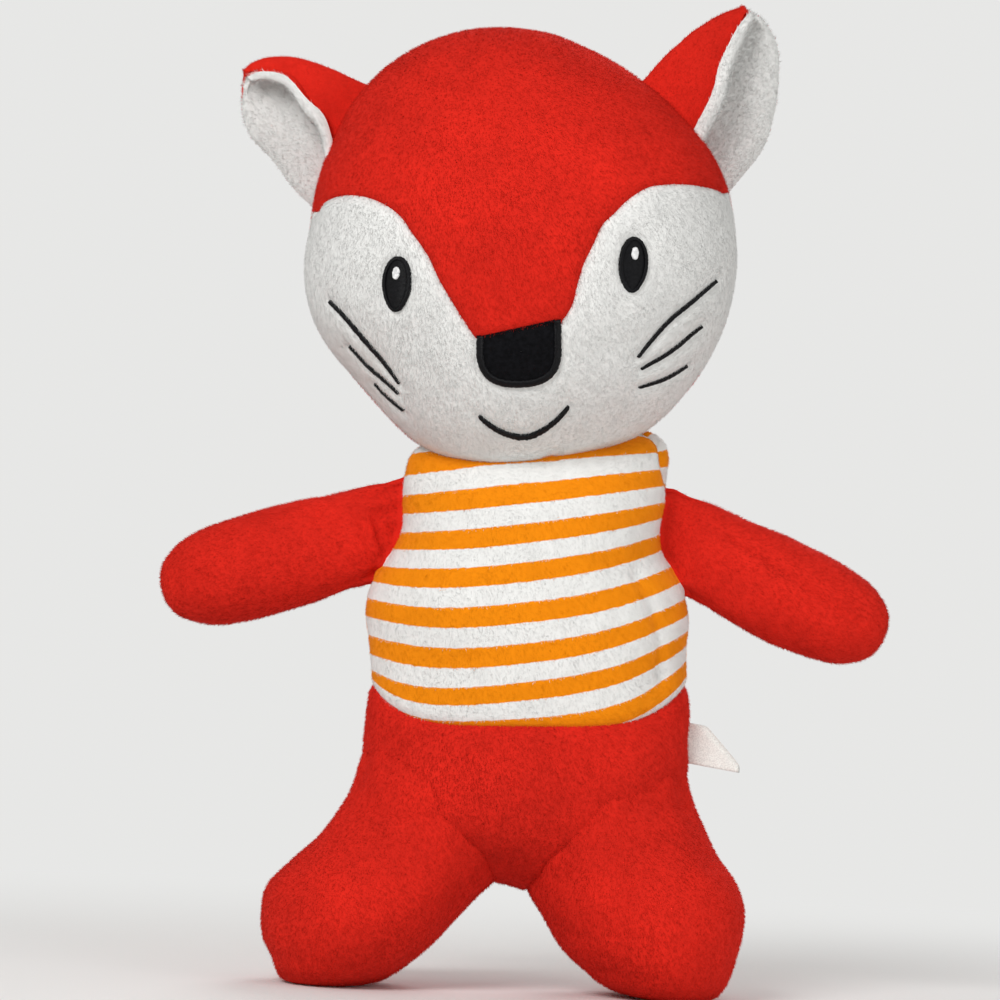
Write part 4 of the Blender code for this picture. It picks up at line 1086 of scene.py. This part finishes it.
# how deep each seam or stitch pulls the cloth in, and how wide its valley is
EDGE_SEAM, RIM_SEAM, DART_SEAM = (1.5 * MM, 2.2 * MM), (1.4 * MM, 2.6 * MM), (1.4 * MM, 3.4 * MM)
STITCH_PRESS, WHISKER_PRESS = (0.7 * MM, 2.2 * MM), (0.6 * MM, 3.0 * MM)
head_seams = [
    (bent(along_line(edge_flat, MM))[0], *EDGE_SEAM),
    (head_at(np.full(600, math.pi / 2), np.linspace(0, FULL_TURN, 600))[0], *RIM_SEAM),
    (face_at(*stitched_view.T)[0], *STITCH_PRESS),
    (face_at(*np.concatenate(list(whisker_lines.values())).T)[0], *WHISKER_PRESS),
    (face_at(*CHIN_DART.T)[0], *DART_SEAM),
]


def head_swell(points):
    move = swell(points, 31)
    for line, depth, width in head_seams:
        move -= valley(line_distance(points, line), depth, width)
    return move


def sewn_face(places, height):
    """Places in the front view, put on the sewn face and raised off it."""
    points, normals = face_at(*np.asarray(places).reshape(-1, 2).T)
    return points + normals * (head_swell(points) + np.ravel(height))[:, None]


# %% The head's three panels
points, normals = bent(flat)
front_points = points + normals * head_swell(points)[:, None]
grid, normals = head_at(*np.meshgrid(DIPS, RIM, indexing="ij"), back=1)
grid, normals = grid[::-1], normals[::-1]
back_points = grid.reshape(-1, 3)
back_points = back_points + normals.reshape(-1, 3) * head_swell(back_points)[:, None]
back_faces = grid_faces(*grid.shape[:2], True)
for name, points, faces, slot in (
    ("crown_panel", front_points, triangles[is_crown], "red_plush"),
    ("face_panel", front_points, triangles[~is_crown], "white_plush"),
    ("head_back_panel", back_points, back_faces, "red_plush"),
):
    points, faces, _ = kept(points, faces, np.ones(len(points), bool))
    outward = np.einsum("ij,ij->i", mesh_normals(points, faces), points - HEAD_MIDDLE).mean()
    faces = faces if outward > 0 else faces[:, ::-1]
    skins[name] = (points, faces)
    solid, sides = thick(points, faces, CLOTH)
    piece = make_piece(name, solid, sides, slot)
    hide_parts(name)
    follows[name] = "head"
    follow(piece, name)
    print(name, "has", len(faces), "faces on its outside")

# %% Fillings of head and neck
piece = add_filling("head", head_grid[::2, ::2], HEAD_FILLING_GAP)
follow(piece, "head_back_panel")
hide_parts("head_stuffing")
NECK_BALL, NECK_OPENING = 19 * MM, 0.05  # its radius, and the angle left open at each end
NECK_LUMPS, LUMP_SIZE = 0.6 * MM, 9 * MM
rises = np.linspace(NECK_OPENING, math.pi - NECK_OPENING, 22)
rows, turns = np.meshgrid(rises, np.linspace(0, FULL_TURN, 40, endpoint=False), indexing="ij")
ways = np.stack([np.sin(rows) * np.cos(turns), np.sin(rows) * np.sin(turns), -np.cos(rows)], -1)
ball = np.array(NECK) + NECK_BALL * ways
ball += ways * (NECK_LUMPS * lumps(ball, LUMP_SIZE, 5))[..., None]
piece = add_filling("neck", ball, 0)
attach(piece, "neck")
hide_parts("neck_stuffing")
print("the neck's filling is a ball", round(2 * NECK_BALL / MM), "mm across")

# %% [markdown]
# ## Ears
#
# An ear is a red piece and a white piece sewn face to face along the edge, turned, and
# folded lengthwise, with the white inside the fold. Its edge is a rolled seam where both
# cloths bulge. A flat shape with a bend modifier would fold evenly; a table of the fold
# and the two free edges follows the fold of the real ear.

# %% The ears' tables
EAR_FOLD_DEPTH, EAR_GAP = 13.5 * MM, 0.15 * MM
EARS = {  # base in head radii, length, lean, and rows of fold, front edge, back edge, depth
    "left_ear": ((-0.866, 0.412), 55 * MM, math.radians(147), [
        (0.18, 0.47, -0.03, -0.03, -0.18, -0.53, 1.0),
        (-0.05, 0.56, -0.12, 0.21, -0.36, -0.37, 1.0),
        (-0.31, 0.645, -0.27, 0.35, -0.54, -0.15, 0.9),
        (-0.55, 0.66, -0.45, 0.53, -0.74, 0.05, 0.75),
        (-0.72, 0.605, -0.65, 0.565, -0.815, 0.27, 0.55),
        (-0.785, 0.53, -0.775, 0.52, -0.80, 0.46, 0.3),
    ]),
    "right_ear": ((0.763, 0.536), 60 * MM, math.radians(66), [
        (-0.37, 0.33, 0.02, 0.03, 0.35, -0.37, 1.0),
        (-0.20, 0.54, 0.14, 0.30, 0.55, -0.09, 1.0),
        (-0.02, 0.72, 0.18, 0.50, 0.63, 0.19, 0.9),
        (0.16, 0.85, 0.25, 0.68, 0.65, 0.48, 0.75),
        (0.28, 0.91, 0.32, 0.82, 0.62, 0.72, 0.55),
        (0.385, 0.945, 0.40, 0.93, 0.50, 0.90, 0.3),
    ]),
}
EAR_BACK, EAR_ROOT = 2 * MM, 0.30  # behind the head's middle; into the head, in ear lengths
EAR_LIP, EAR_LIP_FULL, EAR_LIP_TURN = 4.2 * MM, 8 * MM, 0.8
EAR_CUT, EAR_BEND = 5 * MM, 15 * MM  # cloth kept inside the head; how far past the joint a bend would reach, only recorded
EAR_FULL, EAR_ROLL, EAR_UNEVEN = 2.0 * MM, 0.9 * MM, 0.35 * MM  # thickness of middle, edge and lumps
ROLL_AT, ROLL_WIDTH = 0.86, 0.09  # where the edge is rolled, as a share from fold to edge


# %% An ear's middle layer, between its two cloths
def ear_middle(name, rows, columns):
    """The middle layer of an ear, from root to tip and from front to back edge."""
    base, length, _, table = EARS[name]
    values = read_rows(table, np.linspace(0, len(table) - 1, rows))[:, None]
    place = np.linspace(-1, 1, columns)[None, :, None]
    fold, front_edge, back_edge = values[..., 0:2], values[..., 2:4], values[..., 4:6]
    depth = values[..., 6:7]
    # the front edge rolls outward, so that a lip of lining shows beside it
    reach = np.linalg.norm(front_edge - fold, axis=-1, keepdims=True)
    lip = EAR_LIP / length * np.minimum(reach * length / EAR_LIP_FULL, 1)
    rise = np.sin(np.pi / 2 * np.minimum(-place / EAR_LIP_TURN, 1)) ** 2
    fall = np.clip((-place - EAR_LIP_TURN) / (1 - EAR_LIP_TURN), 0, 1) ** 1.5
    front = fold + unit(front_edge - fold) * ((reach + lip) * rise - lip * fall)
    view = np.where(place < 0, front, fold + (back_edge - fold) * place**2)
    x, z = np.split(in_view(base) + length * view, 2, axis=-1)
    y = HEAD_MIDDLE[1] + EAR_BACK + EAR_FOLD_DEPTH * depth * place
    grid = np.concatenate([x, y, z], -1)
    inward = unit(grid[:1] - grid[2:3]) * length * EAR_ROOT
    return np.concatenate([grid[:1] + inward * share for share in (1, 0.75, 0.5, 0.25)] + [grid])


# %% The cloth on either side of it
def ear_cloth(name, side, rows=46, columns=41):
    """Points and faces of an ear's outer or inner cloth, with a full rolled edge."""
    middle = ear_middle(name, rows, columns)
    shape = middle.shape
    faces = grid_faces(*shape[:2], False)
    normals = grid_normals(middle, False)
    halfway, fold = shape[0] * 2 // 5, columns // 2
    open_side = (middle[halfway, 0] + middle[halfway, -1]) / 2 - middle[halfway, fold]
    if normals[halfway, fold] @ open_side > 0:
        normals, faces = -normals, faces[:, ::-1]
    edge = np.abs(np.linspace(-1, 1, columns))[None, :]
    tip = np.linspace(0, 1, shape[0])[:, None]
    rim = np.maximum(edge, tip**3)
    inside = np.clip(1 - rim**8, 0, 1)
    rolled = np.exp(-(((rim - ROLL_AT) / ROLL_WIDTH) ** 2))
    uneven = lumps(middle, 9 * MM, 3)
    full = EAR_FULL * np.sqrt(inside) + EAR_ROLL * rolled + EAR_UNEVEN * uneven * inside
    outer = middle + normals * side * (EAR_GAP + full)[..., None]
    inner = middle + normals * side * EAR_GAP
    faces = faces if side > 0 else faces[:, ::-1]
    return outer.reshape(-1, 3), inner.reshape(-1, 3), faces


# %% Both ears, cut off inside the head
for name in EARS:
    start = Vector(JOINTS[name + "_bend"]["pos_m"])
    lean = EARS[name][2]
    end = start + Vector((math.cos(lean), 0, math.sin(lean))) * EAR_BEND
    for part, side, slot in (("back", 1, "red_plush"), ("lining", -1, "white_plush")):
        outer, inner, faces = ear_cloth(name, side)
        keep = outside(trees["head"], outer) > -EAR_CUT
        _, cut_faces, used = kept(outer, faces, keep)
        outer, inner = outer[used], inner[used]
        panel = "%s_%s" % (name, part)
        skins[panel] = (outer, cut_faces)
        follows[panel] = ("head", name, start, end)
        sides = two_layers(cut_faces, len(outer))
        piece = make_piece(panel, np.concatenate([outer, inner]), sides, slot)
        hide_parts(panel)
        follow(piece, panel)
print("ears:", [name for name in pieces if "ear" in name])

# %% [markdown]
# ## Satin stitch
#
# The black lines are satin stitch: threads laid side by side across the line, each one a
# small arch. Painted on, they would be flat; here a ribbon of points is raised between
# two rails and given a ridge for every thread, so light runs along the stitches.

# %% Embroidery as closed pieces that follow the sewn face
def closed_on_head(name, view, height, under, faces, slot):
    """A closed piece between two heights off the face, from places in the front view."""
    top, bottom = sewn_face(view, height), sewn_face(view, under)
    if mesh_normals(top, faces)[:, 1].mean() > 0:
        faces = faces[:, ::-1]
    sides = two_layers(faces, len(top))
    return make_piece(name, np.concatenate([top, bottom]), sides, slot, "head")


# %% A raised band of threads between two rails
UNDER_FACE = 0.5 * MM  # how deep embroidery goes into the cloth
THREAD, PER_THREAD = 0.55 * MM, 4  # a thread's width, and the rows of points that shape it
THREAD_RIDGE, THREAD_END = 0.30 * MM, 0.16 * MM  # how much it stands out, and how uneven it ends


def satin(name, first, second, slot, high, low=0.0, closed=False, across=9):
    """Threads that run from one rail to the other, as a closed piece on the head."""
    first, second = np.asarray(first), np.asarray(second)
    middle = (first + second) / 2
    loop = np.concatenate([middle, middle[:1]]) if closed else middle
    length = lengths_along(loop)
    threads = max(round(length[-1] / THREAD), 3)
    steps = PER_THREAD * threads
    at = np.linspace(0, length[-1], steps + 1)[: steps + (0 if closed else 1)]
    rails = []
    for rail in (first, second):
        rail = np.concatenate([rail, rail[:1]]) if closed else rail
        rails.append(np.stack([np.interp(at, length, rail[:, k]) for k in (0, 1)], 1))
    step = np.arange(len(at))
    thread = np.minimum(step // PER_THREAD, threads - 1)
    wide = np.linalg.norm(rails[0] - rails[1], axis=1)
    uneven = np.random.default_rng(len(name)).uniform(-1, 1, (2, threads))[:, thread]
    ends_at = uneven * np.minimum(THREAD_END, 0.07 * wide)
    out = unit(rails[0] - rails[1])
    rails = [rails[0] + out * ends_at[0][:, None], rails[1] - out * ends_at[1][:, None]]
    share = np.linspace(0, 1, across)
    view = rails[0][:, None] * (1 - share)[None, :, None] + rails[1][:, None] * share[None, :, None]
    ridge = np.abs(np.sin(math.pi * step / PER_THREAD))[:, None]
    dome = np.sqrt(np.clip(1 - (2 * share - 1) ** 4, 0, 1))[None, :]
    from_end = np.clip(np.minimum(step, step[::-1]) / PER_THREAD, 0, 1)
    ends = 1.0 if closed else from_end[:, None]
    height = low + (high - low) * dome * (0.3 + 0.7 * ends) + THREAD_RIDGE * (ridge - 0.5) * dome
    faces = grid_faces(len(at) + closed, across, False) % (len(at) * across)
    return closed_on_head(name, view, height, low - UNDER_FACE, faces, slot)


# %% The two rails of a line
def beside(line, widths, closed=False):
    """The two edges of a line with a width along it."""
    line = np.asarray(line)
    ahead = np.roll(line, -1, axis=0) - np.roll(line, 1, axis=0)
    if not closed:
        ahead[0], ahead[-1] = line[1] - line[0], line[-1] - line[-2]
    left = unit(np.stack([-ahead[:, 1], ahead[:, 0]], 1)) * (np.asarray(widths) / 2)[..., None]
    return line + left, line - left


# %% Mouth and whiskers
MOUTH_HIGH, WHISKER_HIGH = 1.5 * MM, 1.4 * MM  # off the face
share = np.linspace(0, 1, len(mouth_line))
satin_width = MOUTH_WIDTH * (0.55 + 0.45 * np.sin(math.pi * share) ** 0.5)
made = satin("mouth_line", *beside(mouth_line, satin_width), "black_thread", MOUTH_HIGH)
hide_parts("mouth_line")
WHISKER_WIDTHS = dict(zip(WHISKERS, (1.6, 1.1, 0.9, 1.7, 1.5, 1.3)))  # mm, seen from the front
for name, line in whisker_lines.items():
    share = np.linspace(0, 1, len(line))
    taper = 0.35 + 0.65 * np.sin(math.pi * np.clip(share * 0.85 + 0.1, 0, 1)) ** 0.6
    width = WHISKER_WIDTHS[name] * MM * taper
    made = satin(name, *beside(line, width), "black_thread", WHISKER_HIGH)
    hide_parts(name)
lengths = [round(lengths_along(line)[-1] / MM) for line in whisker_lines.values()]
print("the whiskers are", lengths, "mm long")


# %% Eyes: a filled almond, a corded rim and a white shine
def halves(outline, ends):
    """The two sides of an outline, from its top to its bottom, without some end points."""
    top = len(outline) // 4
    left, right = np.arange(top, 3 * top + 1), np.arange(top, -top - 1, -1)
    return outline[left][ends:-ends], outline[right % len(outline)][ends:-ends]


RIM_WIDTH, RIM_INSET = 1.9 * MM, 0.8 * MM
EYE_HIGH, RIM_HIGH, SHINE_HIGH, SHINE_LOW = 0.9 * MM, 1.5 * MM, 1.9 * MM, 0.6 * MM
for name in EYES:
    fill = satin(name, *halves(eye_outline(name, count=240), 3), "black_thread", EYE_HIGH)
    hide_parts(name)
    rim_line = eye_outline(name, [size - RIM_INSET for size in EYE_SIZE], count=240)
    rails = beside(rim_line, np.full(240, RIM_WIDTH), True)
    satin(name + "_rim", *rails, "black_thread", RIM_HIGH, closed=True)
    shine = halves(eye_outline(name, SHINE_SIZE, SHINE_RISE, 0.0, 120), 2)
    piece = satin(name + "_highlight", *shine, "white_thread", SHINE_HIGH, SHINE_LOW)
    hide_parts(name + "_highlight")
print("eyes are", [round(2 * size / MM, 1) for size in EYE_SIZE], "mm")

# %% The nose: velvet, with satin stitch round its sides and bottom
TUCK = 1.6 * MM  # how far the nose's top goes up under the crown's nap
BORDER_HIGH, VELVET_HIGH = 1.6 * MM, 1.1 * MM
border_line = nose_outline(NOSE_BORDER * 0.5, TUCK)
rails = beside(border_line, np.full(len(border_line), NOSE_BORDER))
made = satin("nose_border", *rails, "black_thread", BORDER_HIGH)
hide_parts("nose_border")
velvet_line = nose_outline(NOSE_BORDER * 0.8, TUCK)
velvet_line = np.concatenate([velvet_line, along_line(velvet_line[[-1, 0]], 0.4 * MM)[1:-1]])
rings = np.linspace(0.02, 1, 26)
middle = velvet_line.mean(axis=0)
view = middle + (velvet_line - middle)[None] * rings[:, None, None]
height = np.broadcast_to((VELVET_HIGH * np.sqrt(1 - 0.7 * rings**4))[:, None], view.shape[:2])
faces = grid_faces(*view.shape[:2], True)
made = closed_on_head("nose_patch", view, height, -UNDER_FACE, faces, "black_velvet")
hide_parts("nose_patch")
print("the nose is", round(2 * NOSE_HALF_WIDTH / MM), "mm wide")

# %% [markdown]
# ## The nap
#
# Up close, plush is a lawn of short fibres that all lean one way. They soften every
# outline and make the ragged line where red meets white. Hair particles would do this in
# a picture but are not geometry; here each fibre is a thin three-sided blade, one or two
# millimetres long, on a random spot of the cloth. Its shading follows the cloth under it,
# so the lawn looks smooth where the light is even.

# %% Random spots on a skin
def spots(skin, density, rng):
    """Random places on a skin, with the cloth's normal there and its extra value."""
    points, faces = skins[skin][:2]
    extra = skins[skin][2] if len(skins[skin]) > 2 else np.zeros(len(points))
    faces = np.asarray(faces)
    if faces.shape[1] == 4:
        faces = np.concatenate([faces[:, [0, 1, 2]], faces[:, [0, 2, 3]]])
    normals = mesh_normals(points, faces)
    corners = points[faces]
    spread = np.cross(corners[:, 1] - corners[:, 0], corners[:, 2] - corners[:, 0])
    area = np.linalg.norm(spread, axis=1) / 2
    picked = rng.choice(len(faces), int(area.sum() * density), p=area / area.sum())
    a, b = np.sqrt(rng.random(len(picked))), rng.random(len(picked))
    weights = np.stack([1 - a, a * (1 - b), a * b], 1)[..., None]
    places = (corners[picked] * weights).sum(axis=1)
    facing = unit((normals[faces[picked]] * weights).sum(axis=1))
    return places, facing, (extra[faces[picked]] * weights[..., 0]).sum(axis=1)


# %% Blades that lean along a comb direction
FIBRE_WIDTHS, FIBRE_ROOT = (0.10 * MM, 0.17 * MM), 0.3 * MM  # the root is inside the cloth


def blades(places, facing, comb, length, rng, lie, rough):
    """Points, faces and shading normals of one blade at each place."""
    count = len(places)
    comb = comb + rng.normal(0, 0.35, (count, 3))
    lean = unit(comb - facing * (comb * facing).sum(axis=1, keepdims=True))
    across = np.cross(facing, lean)
    angle = rng.uniform(*lie, (count, 1))
    tip = places + (facing * np.cos(angle) + lean * np.sin(angle)) * length[:, None]
    foot = places - facing * FIBRE_ROOT
    width = rng.uniform(*FIBRE_WIDTHS, (count, 1))
    corners = [foot + way * width for way in (-lean, lean * 0.5 + across, lean * 0.5 - across)]
    points = np.stack([*corners, tip], 1).reshape(-1, 3)
    base = np.arange(count)[:, None] * 4
    faces = np.concatenate([base + [1, 0, 3], base + [2, 1, 3], base + [0, 2, 3]], 1).reshape(-1, 3)
    soft = unit(facing + rng.normal(0, rough, (count, 3)))
    return points, faces, np.repeat(soft, 4, axis=0)


# %% Tones of the nap: darker and lighter copies of each colour, as painted shade and sheen
def tones(name, colour, shares):
    """Fibres of three tones, a darker, a plain and a lighter copy of one colour as painted shade and
    sheen; a fibre is too thin to show any texture of its own.
    """
    made = []
    for k, share in enumerate(shares):
        base = (*shade(colour, share), 1)
        finish = Finish("%s_nap_%d" % (name, k), 0.95, Base_Color=base, Sheen_Weight=0.2)
        finish.set("Sheen Tint", (*shade(colour, 1.2), 1))
        finish.set("Specular IOR Level", 0.1)
        made.append(finish.material)
    return made


# darker and lighter copies of each colour: painted shade and sheen on the fibres
reds, whites = tones("red", RED, (0.88, 1.0, 1.14)), tones("white", WHITE, (0.96, 1.0, 1.05))
oranges = tones("orange", ORANGE, (0.92, 1.0, 1.06))
TONES = {"red_plush": reds, "white_plush": whites, "shirt_plush": whites + oranges}
print("the nap has", len(reds + whites + oranges), "tones")


# %% How each skin's nap lies
NAP_LIES = {  # lean from upright in radians, unevenness of the shading, fibres per square mm
    "face_panel": ((0.95, 1.3), 0.06, 2.4),
    "left_ear_lining": ((0.5, 1.1), 0.22, 2.4),
    "right_ear_lining": ((0.5, 1.1), 0.22, 2.4),
    "shirt_front": ((0.9, 1.25), 0.06, 1.8),
    "head_back_panel": ((0.8, 1.2), 0.09, 1.33),
    "other": ((0.8, 1.2), 0.09, 1.7),
}


# %% Where no fibre grows, and where it is orange
OFF_FORMS, OFF_STITCHES, OFF_CLOSING_SEAM = 0.2 * MM, 1.5 * MM, 1.3 * MM
SOLE_HEIGHT, OFF_FLOOR = 2 * MM, 0.2 * MM


def clear_of_stitches(places):
    """Whether places on the face are off its embroidery."""
    view = places[:, [0, 2]]
    on = within(view, nose_outline(0.5 * MM, 3 * MM))
    for name in EYES:
        on |= within(view, eye_outline(name))
    lines = sewn_face(np.concatenate([mouth_line, *whisker_lines.values()]), 0)
    return ~on & (line_distance(places, lines) > OFF_STITCHES)


def by_stripe(phase, rng):
    """0 for white cloth and 1 for the orange stripes."""
    wander = rng.normal(0, 0.02, len(phase))
    return (np.mod(phase + wander, 1) < STRIPE_SHARE).astype(int)


# %% Grow the nap of one skin
def grow(skin, comb, seed, length, clear_of, tone_shift):
    """Nap on a skin, off the forms it is clear of; the last argument, above zero, moves all of it towards
    its lighter tone of painted sheen and, below zero, towards its darker tone of painted shade.
    """
    rng = np.random.default_rng(seed)
    lie, rough, density = NAP_LIES.get(skin, NAP_LIES["other"])
    density = density
    places, facing, extra = spots(skin, density / MM**2, rng)
    keep = ~((places[:, 2] < SOLE_HEIGHT) & (facing[:, 2] < -0.3))  # not under the soles
    for form in clear_of:
        keep &= outside(trees[form], places) > OFF_FORMS
    if skin == "face_panel":
        keep &= clear_of_stitches(places)
    if skin == "right_arm_front_panel":
        keep &= line_distance(places, closing_seam) > OFF_CLOSING_SEAM
    places, facing, extra = places[keep], facing[keep], extra[keep]
    lengths = length * rng.uniform(0.75, 1.15, len(places))
    points, faces, normals = blades(places, facing, np.asarray(comb, float), lengths, rng, lie, rough)
    points[:, 2] = np.maximum(points[:, 2], OFF_FLOOR)
    piece = make_piece(skin + "_nap", points, faces, slots[skin])
    piece.data.materials.clear()
    for finish in TONES[slots[skin]]:
        piece.data.materials.append(finish)
    # painted shade and sheen: each fibre's tone follows patches and clumps like the skin's painted mottle
    light = 1.2 * lumps(places, 34 * MM, 4) + 0.35 * lumps(places, 8 * MM, 8) + tone_shift
    number = np.digitize(light + rng.normal(0, 0.3, len(places)), [-0.35, 0.4])
    number += 3 * (by_stripe(extra, rng) if slots[skin] == "shirt_plush" else 0)
    piece.data.polygons.foreach_set("material_index", np.repeat(number, 3).astype(np.int32))
    piece.data.normals_split_custom_set_from_vertices(normals.tolist())
    follow(piece, skin)
    return len(places)


# %% Nap on every panel
total = 0
for seed, skin in enumerate(skins):
    # the last value moves a skin's fibres a little to lighter tones, and on the pants to darker ones
    comb, clear_of, length, tone_shift = (0.1, 0.25, -1), ("torso",), 1.7 * MM, 0.15
    part = "_".join(skin.split("_")[:2])  # such as left_arm
    if skin.startswith("shirt"):
        clear_of, length = ("head", *ARMS), 1.3 * MM
    if skin.startswith("pants"):
        clear_of, tone_shift = tuple(LEGS), -0.3
    if part in ARMS:
        comb = arm_directions(part)[0]
    if part in EARS:
        clear_of, length = ("head",), (2.3 if "lining" in skin else 1.5) * MM
        lean = EARS[part][2]
        comb = (math.cos(lean), 0, math.sin(lean))
    total += grow(skin, comb, seed, length, clear_of, tone_shift)
print("fibres:", total)

# %% [markdown]
# ## Care label
#
# A blank ribbon is folded in half and sewn into the side seam at the hip. It stands out
# stiffly, with one corner curled back. A cloth simulation would let it hang; a bent grid
# keeps the crease that such ribbon gets in a shop's box.

# %% The folded ribbon
LABEL_ROOT, LABEL_SIZE = on_torso(1.0, 0.33), (18 * MM, 25 * MM)
LABEL_DROP, LABEL_CURL, RIBBON = math.radians(8), 3 * MM, 0.25 * MM
CURL_WAY, CURL_AT = math.radians(51), 8.0 * MM  # the line that the corner curls back along
LABEL_ROWS, LABEL_COLUMNS = 26, 19
LAYER_GAP, RIPPLE = 0.35 * MM, 0.5 * MM  # of a layer from the middle; how wavy the ribbon is


def label_grid(side):
    """One layer of the ribbon, from the seam to its fold."""
    out, up = np.linspace(-0.12, 1, LABEL_ROWS), np.linspace(-0.5, 0.5, LABEL_COLUMNS)
    out, up = np.meshgrid(out, up, indexing="ij")
    run, rise = LABEL_SIZE[1] * out, LABEL_SIZE[0] * up
    way = (math.cos(CURL_WAY), math.sin(CURL_WAY))
    past = np.maximum(run * way[0] + rise * way[1] - CURL_AT, 0)
    turn = np.minimum(past / LABEL_CURL, 1.9)
    spare = past - LABEL_CURL * turn
    layer = side * LAYER_GAP * np.sqrt(np.clip(1 - out**6, 0, 1))
    inward = past - LABEL_CURL * np.sin(turn) - spare * np.cos(turn) + layer * np.sin(turn)
    y = LABEL_CURL * (1 - np.cos(turn)) + spare * np.sin(turn) + layer * np.cos(turn)
    y += RIPPLE * np.sin(5 * up + 4 * out)
    run, rise = run - inward * way[0], rise - inward * way[1]
    x = LABEL_ROOT[0] + run * math.cos(LABEL_DROP) + rise * math.sin(LABEL_DROP)
    z = LABEL_ROOT[2] - run * math.sin(LABEL_DROP) + rise * math.cos(LABEL_DROP)
    return np.stack([x, LABEL_ROOT[1] + y, z], -1)


# %% Sew both layers in as one piece
front_layer, back_layer = label_grid(-1), label_grid(1)
ribbon = np.concatenate([front_layer, back_layer[::-1][1:]])
points, faces = ribbon.reshape(-1, 3), grid_faces(*ribbon.shape[:2], False)
if mesh_normals(points, faces)[: 20 * LABEL_COLUMNS, 1].mean() > 0:
    faces = faces[:, ::-1]
solid, sides = thick(points, faces, RIBBON)
label = make_piece("care_label", solid, sides, "label_tape", "label")
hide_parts("care_label")
corners = points[faces]
area = np.linalg.norm(np.cross(corners[:, 1] - corners[:, 0], corners[:, 3] - corners[:, 0]), axis=1)
print("the ribbon's area is", round(area.sum() / MM**2), "square mm")

# %% [markdown]
# ## Floor, light and camera
#
# The fox stands on a plain pale floor that runs out into a pale background. One large
# soft lamp high on the left models the forms, a wide one fills from the right, and a dim
# one behind lifts the fuzzy edges. Their level is such that a colour shows about as it is
# written. The camera is far away behind a long lens, as small toys are photographed.

# %% Background: pale where it is seen, and a dimmer light on the fox
PALE, SKY, SKY_STRENGTH = (0.80, 0.80, 0.79), (1.0, 0.99, 0.97), 0.41
world = bpy.data.worlds.new("soft_room")
world.use_nodes = True
bpy.context.scene.world = world
tree = world.node_tree
sky = tree.nodes["Background"]
sky.inputs["Color"].default_value = (*SKY, 1)
sky.inputs["Strength"].default_value = SKY_STRENGTH
seen = add_node(tree, "Background", {"Color": (*PALE, 1), "Strength": 1.0})
path = add_node(tree, "LightPath").node.outputs
rays = {0: path["Is Camera Ray"], 1: path["Is Glossy Ray"]}
is_seen = add_node(tree, "Math", rays, operation="MAXIMUM")
choice = add_node(tree, "MixShader", {0: is_seen, 1: sky.outputs[0], 2: seen})
tree.links.new(choice, tree.nodes["World Output"].inputs[0])
print("the background lights the fox with a strength of", SKY_STRENGTH)

# %% Floor, fading into the background
FLOOR_RADIUS, FLOOR_SIDES, FLOOR_DROP = 0.9, 96, 0.2 * MM
FADE_FROM, FADE_TO = 0.22, 0.75  # how far out the floor turns into the background, in metres
ground = Finish("pale_floor", 0.9)
stops = [(0.3, shade(PALE, 0.96)), (0.7, PALE)]
ground.link(ground.ramp(ground.noise(0.4), stops), "Base Color")
ground.bump(ground.noise(0.01), 0.05 * MM, 0.3)
place = ground.add("TexCoord").node.outputs["Object"]
far = ground.add("VectorMath", {0: place}, operation="LENGTH").node.outputs["Value"]
fade = ground.add("MapRange", {0: far, 1: FADE_FROM, 2: FADE_TO}, interpolation_type="SMOOTHSTEP")
seen_only = ground.add("LightPath").node.outputs["Is Camera Ray"]
glow = ground.add("Emission", {"Color": (*PALE, 1), "Strength": 1.0})
share = ground.math("MULTIPLY", fade, seen_only)
blended = ground.add("MixShader", {0: share, 1: ground.shader.outputs[0], 2: glow})
ground.tree.links.new(blended, ground.tree.nodes["Material Output"].inputs["Surface"])
turns = np.linspace(0, FULL_TURN, FLOOR_SIDES, endpoint=False)
rim = [(FLOOR_RADIUS * math.cos(a), FLOOR_RADIUS * math.sin(a), -FLOOR_DROP) for a in turns]
mesh = bpy.data.meshes.new("floor")
mesh.from_pydata(rim, [], [list(range(FLOOR_SIDES))])
mesh.materials.append(ground.material)
floor = bpy.data.objects.new("floor", mesh)
bpy.context.scene.collection.objects.link(floor)
print("the floor is a disc", 2 * FLOOR_RADIUS, "m across")


# %% Lamps
LAMP_AIM = Vector((0, 0, 0.25))  # the middle of the fox


def lamp(name, place, size, watts):
    """A round soft lamp that shines at the fox."""
    data = bpy.data.lights.new(name, "AREA")
    data.shape, data.size, data.energy = "DISK", size, watts
    made = bpy.data.objects.new(name, data)
    made.location = place
    made.rotation_euler = (LAMP_AIM - Vector(place)).to_track_quat("-Z", "Y").to_euler()
    bpy.context.scene.collection.objects.link(made)
    print(name, "gives", watts, "watts")


lamp("key_lamp", (-0.8, -1.5, 1.3), 1.0, 24.5)
lamp("fill_lamp", (1.4, -1.3, 0.5), 1.2, 9)
lamp("back_lamp", (0.5, 1.6, 1.2), 1.0, 12)

# %% Camera
PHOTO_ROLL, PHOTO_WIDTH, DISTANCE = math.radians(2.6), 0.450, 2.8  # lean; metres seen across; far
PHOTO_MIDDLE = Vector((-11.8, 0, 220.2)) * MM
eye = bpy.data.cameras.new("camera")
eye.sensor_width, eye.lens = 36, 36 * DISTANCE / PHOTO_WIDTH
eye.clip_end = 100
camera = bpy.data.objects.new("camera", eye)
right = Vector((math.cos(PHOTO_ROLL), 0, math.sin(PHOTO_ROLL)))
up = Vector((-math.sin(PHOTO_ROLL), 0, math.cos(PHOTO_ROLL)))
back = Vector((0, -1, 0))
camera.matrix_world = Matrix((right, up, back)).transposed().to_4x4()
camera.location = PHOTO_MIDDLE + back * DISTANCE
bpy.context.scene.collection.objects.link(camera)
bpy.context.scene.camera = camera
bpy.context.scene.view_settings.view_transform = "Standard"
print("the camera is", DISTANCE, "m away behind a", round(eye.lens), "mm lens")
